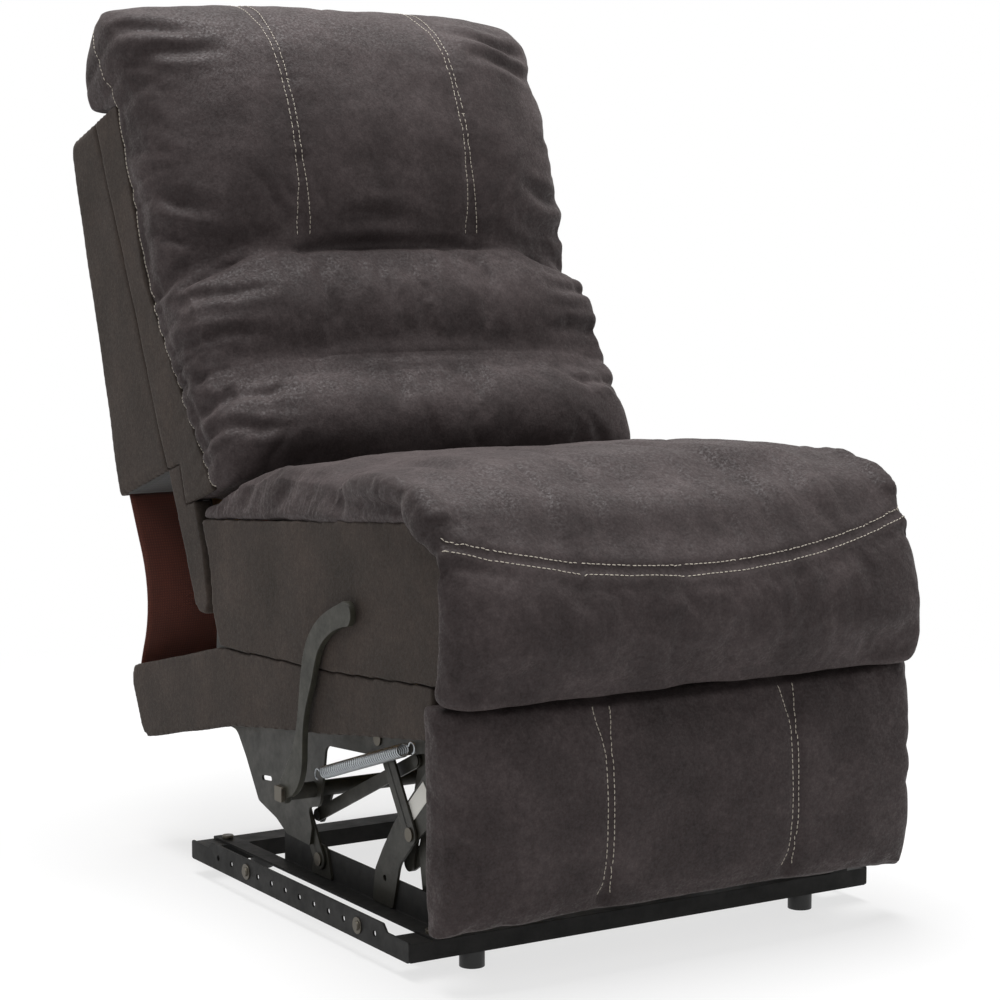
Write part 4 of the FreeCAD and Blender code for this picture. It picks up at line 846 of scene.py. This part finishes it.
def shirred_path(side):
    """The seam at the foot of the gathered strip, from the flap to the back."""
    stations = [(255, 480), (320, 474), (420, 462), (500, 446), (560, 434)]
    return [spot(side * 291, d, h) for d, h in stations]


def rim_path(side):
    """The line under the rolled rim, where the cover turns in to the side panel."""
    stations = [(22, 428), (63, 452), (113, 484), (200, 480), (266, 472), (270, 500)]
    return smooth_path([spot(side * 293, d, h) for d, h in stations], 2)


def flap_path(side):
    """The rolled edge of the seat's cover, from the front corner up and back over the panel."""
    stations = [(26, 440), (34, 452), (63, 470), (113, 492), (180, 494), (255, 484)]
    return smooth_path([spot(side * 293, d, h) for d, h in stations])


# %% [markdown]
# The seat and the front pillow share one cover too. Loose forms are joined to it before the remesh: on
# each side the rolled rim of the front roll and the gathered strip that closes the cushion's side, and
# along the bottom a lip that turns under to the front rail.

# %% Seat cushion and front pillow
RIM = [
    (24, 430), (63, 455), (113, 488), (264, 474), (264, 497), (200, 508), (118, 512), (80, 505),
    (40, 480), (24, 442),
]
STRIP = [
    (225, 456), (586, 422), (586, 440), (554, 453), (503, 474), (420, 492), (264, 497), (225, 500),
]
LIP = [(-10, 291), (50, 291), (50, 306), (-10, 314)]
seat_sides = [slab(-285, 285, LIP)]
for side in (-1, 1):
    seat_sides.append(slab(side * 282, side * 298, RIM))
    seat_sides.append(slab(side * 258, side * 290, STRIP))
seat = remeshed("seat_pad", ("seat_cushion", "seat_front_pillow"), 6, 4, seat_sides)
places = read(seat)[0]
neighbours = (
    "left_seat_gusset", "right_seat_gusset", "left_side_board", "right_side_board",
    "front_rail", "seat_foam",
)
lip_line = [spot(x, 22, 291) for x in range(-280, 281, 20)]
held = closeness(places, neighbours, 4, 18)
held = np.maximum(held, along_seams(places, [seam_smile(0)], 3, 26))
held = np.maximum(held, along_seams(places, [lip_line], 28, 40))
filled(seat, held, 5, 0.03, 3, 9)
crease(seat, front_roll(), 36, -11)
crease(seat, seam_smile(0), 8, 3)
crease(seat, cross_seam(), 17, 10)
gathers(seat, cross_seam(), 58, 66, 6.5, 61)
for side in (-1, 1):
    crease(seat, rim_path(side), 7, 6)
    gathers(seat, shirred_path(side), 8.5, 26, 2.4, 71 + side)
    gathers(seat, flap_path(side), 26, 34, 3.4, 75 + side)
gathers(seat, seam_smile(0), 70, 46, 3.4, 81)
SEAT_FOLDS = [
    [(-250, 290, 505), (-190, 330, 508), (-140, 380, 505)],
    [(-120, 262, 512), (-96, 200, 515), (-60, 120, 505)],
    [(40, 266, 512), (70, 196, 515), (90, 110, 500)],
    [(170, 262, 508), (190, 190, 505), (214, 110, 490)],
    [(252, 262, 496), (262, 190, 495), (270, 110, 480)],
    [(236, 290, 500), (180, 330, 508), (120, 400, 502)],
    [(-240, 232, 505), (-214, 160, 505), (-190, 90, 492)],
    [(-292, 0, 330), (-240, -14, 320), (-180, -24, 326)],
    [(292, 0, 328), (236, -14, 320), (190, -24, 326)],
]
folds(seat, placed(SEAT_FOLDS, spot), 15, 5)
rumple(seat, 80, 3.4, 4)
rumple(seat, 26, 0.9, 9)
dressed(seat, cushion_suede, "seat", "cushion_cover", "seat_cushion", "seat_front_pillow")
stitched("seat_front_stitches", seat, [seam_smile(2, 5.5), seam_smile(2, -5.5)], "seat")

# %% [markdown]
# The footrest is a board with a crowned pad, and its cover is drawn round the board's edges, so
# only the back of the board stays bare. Two lines of double stitching run down it, in line with
# those of the headrest.

# %% Footrest
def footrest_path(across):
    """A line of stitching down the footrest."""
    return [spot(across, -4, h) for h in range(284, 74, -10)]


def wrap(near, far, low, high):
    """A form for the cover where it goes round one edge of the board."""
    return slab(near, far, [(25, low), (49.5, low), (49.5, high), (25, high)])


wraps = [wrap(-303, 303, 51, 57.5), wrap(-303, 303, 273.5, 290)]
for side in (-1, 1):
    wraps.append(wrap(side * 289.5, side * 303, 51, 290))
rest_pad = remeshed("footrest_pad_cover", ("footrest_pad",), 5, 3, wraps)
places = read(rest_pad)[0]
upper_edge = [spot(x, 36, 290) for x in range(-300, 301, 20)]
held = closeness(places, ("footrest_board",), 3, 16)
held = np.maximum(held, along_seams(places, [upper_edge], 16, 26))
filled(rest_pad, held, 4, 0.015, 2, 5)
for side in (-1, 1):
    crease(rest_pad, footrest_path(side * SEWN_LINE), 9, 3)
    gathers(rest_pad, footrest_path(side * SEWN_LINE), 42, 22, 1.6, 91 + side)
rumple(rest_pad, 90, 2.2, 6)
dressed(rest_pad, cushion_suede, "footrest", "cushion_cover", "footrest_pad")
rows = [footrest_path(side * SEWN_LINE + offset) for side in (-1, 1) for offset in (-7, 7)]
stitched("footrest_stitches", rest_pad, rows, "footrest")

# %% [markdown]
# The side panels, the boxing of the back and the cover of its shell are plain suede stretched over
# board and thin foam. They are nearly flat, so each is an even mesh of its solid with softened edges
# and a slow wave, and the boxing pulls in a little towards its seams.

# %% Panels covered in plain suede
PANELS = {
    "left_side_band": ("seat", 3.2, 1.0), "right_side_band": ("seat", 3.2, 1.0),
    "left_seat_gusset": ("seat", 3.2, 1.4), "right_seat_gusset": ("seat", 3.2, 1.4),
    "left_back_boxing": ("back", 3.2, 1.4), "right_back_boxing": ("back", 3.2, 1.4),
    "left_post_cover": ("back", 3.2, 0.8), "right_post_cover": ("back", 3.2, 0.8),
    "back_shell": ("back", 4.2, 1.6),
}
panels = {}
for number, (node, (_, voxel, wave)) in enumerate(PANELS.items()):
    panels[node] = remeshed(f"{node}_cover", (node,), voxel, 3)
    rumple(panels[node], 75, wave, 10 + number)
for side, word in SIDES:
    gathers(panels[f"{word}_back_boxing"], boxing_path(side, 600, 1300), 26, 22, 1.6, 101 + side)
for node, piece in panels.items():
    dressed(piece, panel_suede, PANELS[node][0], "panel_cover", node)
for side, word in SIDES:
    path = [point - Vector((0, 8 * MM, 0)) for point in boxing_path(side, 606, 1300)]
    stitched(f"{word}_boxing_stitches", back_pad, [path], "back")

# %% [markdown]
# Under the upholstery lie the foam block of the seat and the sinuous springs that carry it, and the
# back has its own springs between two rails. A sinuous spring is one wire bent to and fro, so it is a
# curve with a round bevel, turned into a mesh.

# %% Foam and springs
deselect()
low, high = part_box("seat_foam")
bpy.ops.mesh.primitive_cube_add(size=1, location=(Vector(low) + Vector(high)) / 2)
foam = bpy.context.object
foam.name = "seat_foam_block"
foam.scale = Vector(high) - Vector(low)
bpy.ops.object.transform_apply(location=True, rotation=True, scale=True)
applied(foam, "BEVEL", width=9 * MM, segments=4)
applied(foam, "SUBSURF", subdivision_type="SIMPLE", levels=3, render_levels=3)
rumple(foam, 60, 0.8, 30)
dressed(foam, foam_cells, "seat", "foam", "seat_foam")


def wire(name, runs, radius):
    """Round wires along runs of points, as one mesh."""
    curve = bpy.data.curves.new(name, "CURVE")
    curve.dimensions = "3D"
    curve.bevel_depth = radius * MM
    curve.bevel_resolution = 2
    curve.use_fill_caps = True
    for run in runs:
        spline = curve.splines.new("POLY")
        spline.points.add(len(run) - 1)
        spline.points.foreach_set("co", [v for p in run for v in (*p, 1)])
    made = bpy.data.objects.new(name, curve)
    scene.collection.objects.link(made)
    only(made)
    bpy.ops.object.convert(target="MESH")
    return bpy.context.object


BEND_STEP = 18 * MM
SPRING_HALF = 22 * MM
RAIL_INSET = 2 * MM


def sinuous(first, last):
    """Points of a sinuous spring from one rail to the other."""
    first, last = Vector(first), Vector(last)
    along = (last - first).normalized()
    sideways = Vector((1, 0, 0))
    turns = int((last - first).length / BEND_STEP)
    radius = (last - first).length / (2 * turns)
    half = SPRING_HALF - radius
    out, side = [], 1
    for n in range(turns):
        middle = first + along * radius * (2 * n + 1) + sideways * half * side
        for k in range(9):
            angle = math.pi * k / 8
            bend = sideways * radius * side * math.sin(angle)
            out.append(middle - along * radius * math.cos(angle) + bend)
        side = -side
    return out


def spring_runs(node, count):
    """The runs of a row of sinuous springs inside the box of their node."""
    low, high = (Vector(corner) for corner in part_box(node))
    first_y, last_y = low.y + RAIL_INSET, high.y - RAIL_INSET
    if high.z - low.z < 20 * MM:
        first_z = last_z = (low.z + high.z) / 2
    else:
        first_z, last_z = low.z + RAIL_INSET, high.z - RAIL_INSET
    runs = []
    for n in range(count):
        x = low.x + SPRING_HALF + (high.x - low.x - 2 * SPRING_HALF) * n / (count - 1)
        runs.append(sinuous((x, first_y, first_z), (x, last_y, last_z)))
    return runs


for node, body in (("seat_springs", "seat"), ("back_springs", "back")):
    piece = wire(f"{node}_wire", spring_runs(node, 4), 1.9)
    dressed(piece, zinc, body, "spring_wire", node)

# %% [markdown]
# Each side has a long extension spring from the seat plate to the torque tube, close wound in bright
# wire with an open hook at each end.

# %% Extension springs
def coil(front, rear, turns, radius):
    """Points of a close-wound spring between two hooks."""
    front, rear = Vector(front), Vector(rear)
    axis = (rear - front).normalized()
    up = Vector((1, 0, 0)).cross(axis).normalized()
    across = axis.cross(up)
    hook, bend, steps = 24 * MM, 6 * MM, 14
    length = (rear - front).length - 2 * hook
    out = []
    for n in range(13):
        angle = math.pi * (1.5 - 1.35 * n / 12)
        out.append(front + axis * bend * (1 + math.cos(angle)) + up * bend * math.sin(angle))
    for n in range(turns * steps + 1):
        angle = math.tau * n / steps
        middle = front + axis * (hook + length * n / (turns * steps))
        out.append(middle + up * radius * math.cos(angle) + across * radius * math.sin(angle))
    for n in range(13):
        angle = math.pi * (0.15 + 1.35 * n / 12)
        out.append(rear - axis * bend * (1 + math.cos(angle)) + up * bend * math.sin(angle))
    return out


for side, word in SIDES:
    front, rear = spot(side * 268.5, 123, 232), spot(side * 268.5, 343, 162)
    piece = wire(f"{word}_spring_coil", [coil(front, rear, 40, 6.4 * MM)], 1.1)
    coated(piece, zinc)
    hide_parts(f"{word}_extension_spring")
    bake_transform(piece)

# %% [markdown]
# A flap of cloth closes the gap below the back. It hangs from the shell to the rear rail as one sheet
# with a soft fold. Its outer face is the plain suede, and its inner face is the lining that shows in
# front of it.

# %% Drop cloth
FLAP_WIDTH = 0.5524


def drop_cloth():
    """The flap behind the seat, as a thin sheet that hangs along its path."""
    stations = [(823, 432), (757, 308), (812, 190), (798, 149), (767, 149)]
    points, lengths = sampled(smooth_path([spot(0, d, h) for d, h in stations]), 1)
    last = len(points) - 1
    deselect()
    bpy.ops.mesh.primitive_grid_add(x_subdivisions=70, y_subdivisions=44, size=1)
    cloth = bpy.context.object
    cloth.name = "rear_flap"
    places, _ = read(cloth)
    out = []
    for x, y, _ in places:
        down = (0.5 - y) * lengths[-1]
        point = points[min(last, int(down / lengths[-1] * last))]
        wave = 4 * math.sin(x * 15 + 0.6) * math.sin(math.pi * (0.5 - y))
        wave += 2 * math.sin(x * 37 + y * 5)
        fade = min(1, 6 * (0.5 - abs(y)))
        out.append((x * FLAP_WIDTH, point.y + wave * fade * MM, point.z))
    write(cloth, np.array(out))
    applied(cloth, "SOLIDIFY", thickness=1.6 * MM, offset=0)
    return cloth, lengths[-1]


flap, flap_length = drop_cloth()
coated(flap, lining, panel_suede)
for face in flap.data.polygons:
    face.material_index = 1 if face.normal.y > 0.05 else 0
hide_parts("drop_cloth")
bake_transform(flap)

# %% [markdown]
# The bottom of the shell is closed with a thin black cloth, stapled at its edges, so it is stretched
# and sags a few millimetres in the middle.

# %% Dust cover
def dust_cover():
    """The black cloth under the back."""
    low, high = (Vector(corner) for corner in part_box("back_dust_cover"))
    deselect()
    bpy.ops.mesh.primitive_grid_add(x_subdivisions=40, y_subdivisions=16, size=1)
    cloth = bpy.context.object
    cloth.name = "dust_cloth"
    places, _ = read(cloth)
    slope = (low.z - high.z) / (high.y - low.y)
    middle = (low + high) / 2
    out = []
    for x, y, _ in places:
        sag = 2.5 * math.cos(math.pi * x) * math.cos(math.pi * y)
        across, deep = x * (high.x - low.x), y * (high.y - low.y)
        out.append((across, middle.y + deep, middle.z + slope * deep - sag * MM))
    write(cloth, np.array(out))
    applied(cloth, "SOLIDIFY", thickness=0.8 * MM, offset=0)
    return cloth, (high.x - low.x, math.hypot(high.y - low.y, high.z - low.z))


dust, dust_size = dust_cover()
dressed(dust, cambric, "back", "dust_cloth", "back_dust_cover")

# %% [markdown]
# A blank white label sticks to the mechanism below the spring. It is a thin film, set at a slant.

# %% Blank label
deselect()
bpy.ops.mesh.primitive_cube_add(size=1, location=spot(-253.25, 143, 169))
label = bpy.context.object
label.name = "blank_label"
label.scale = (0.0004, 0.048, 0.020)
label.rotation_euler = (math.radians(-42.5), 0, 0)
bpy.ops.object.transform_apply(location=True, rotation=True, scale=True)
applied(label, "BEVEL", width=0.1 * MM, segments=2)
dressed(label, label_film, "base", "mechanism_steel")

# %% [markdown]
# The studio is a white floor that runs on into a white background. The floor keeps the soft shadow
# near the chair, and fades to plain white further out. A very large soft lamp hangs high above and
# gives nearly all the light, two weak ones stand to the left and to the right of the camera, and
# the world adds a little from all sides.

# %% Studio
def looked_at(tree):
    """1 where the camera sees a surface, straight or mirrored in another one."""
    ray = add(tree, "ShaderNodeLightPath")
    kinds = {0: ray.outputs["Is Camera Ray"], 1: ray.outputs["Is Glossy Ray"]}
    return add(tree, "ShaderNodeMath", kinds, operation="MAXIMUM").outputs[0]


deselect()
bpy.ops.mesh.primitive_circle_add(vertices=96, radius=40, fill_type="NGON", location=(0, 0, 0))
floor = bpy.context.object
floor.name = "studio_floor"
floor_material, tree, shader, place = start("white studio floor", {"Roughness": 0.8})
coloured(tree, shader, patches(tree, place, 300, 2), "#f4f4f4", "#f8f8f8")
apart = add(tree, "ShaderNodeVectorMath", {0: place}, operation="LENGTH").outputs["Value"]
reach = {0: apart, 1: 0.75, 2: 1.7, 3: 0.72, 4: 1}
fade = add(tree, "ShaderNodeMapRange", reach, interpolation_type="SMOOTHSTEP").outputs[0]
share = add(tree, "ShaderNodeMath", {0: fade, 1: looked_at(tree)}, operation="MULTIPLY")
glow = add(tree, "ShaderNodeEmission", {"Color": (1, 1, 1, 1), "Strength": 1})
layers = {0: share.outputs[0], 1: shader.outputs[0], 2: glow.outputs[0]}
blend = add(tree, "ShaderNodeMixShader", layers)
tree.links.new(blend.outputs[0], tree.nodes["Material Output"].inputs["Surface"])
floor.data.materials.append(floor_material)

world = bpy.data.worlds.new("studio")
scene.world = world
world.use_nodes = True
tree = world.node_tree
background = tree.nodes["Background"]
background.inputs["Color"].default_value = (1, 1, 1, 1)
tree.links.new(ranged(tree, looked_at(tree), 0, 1, 0.12, 1), background.inputs["Strength"])


def lamp(name, place, aim, size, power):
    """A large soft lamp at a place, pointed at a point."""
    data = bpy.data.lights.new(name, "AREA")
    data.size = size
    data.energy = power
    made = bpy.data.objects.new(name, data)
    made.location = place
    made.rotation_euler = (Vector(aim) - Vector(place)).to_track_quat("-Z", "Y").to_euler()
    scene.collection.objects.link(made)


chair_middle = (0, 0, 0.5)
lamp("key lamp", (-2.2, -2.4, 3.4), chair_middle, 1.8, 21)
lamp("fill lamp", (2.8, -1.8, 2.2), chair_middle, 2.0, 7)
lamp("top lamp", (0.1, 0.5, 5.0), chair_middle, 3.2, 350)
scene.view_settings.view_transform = "Standard"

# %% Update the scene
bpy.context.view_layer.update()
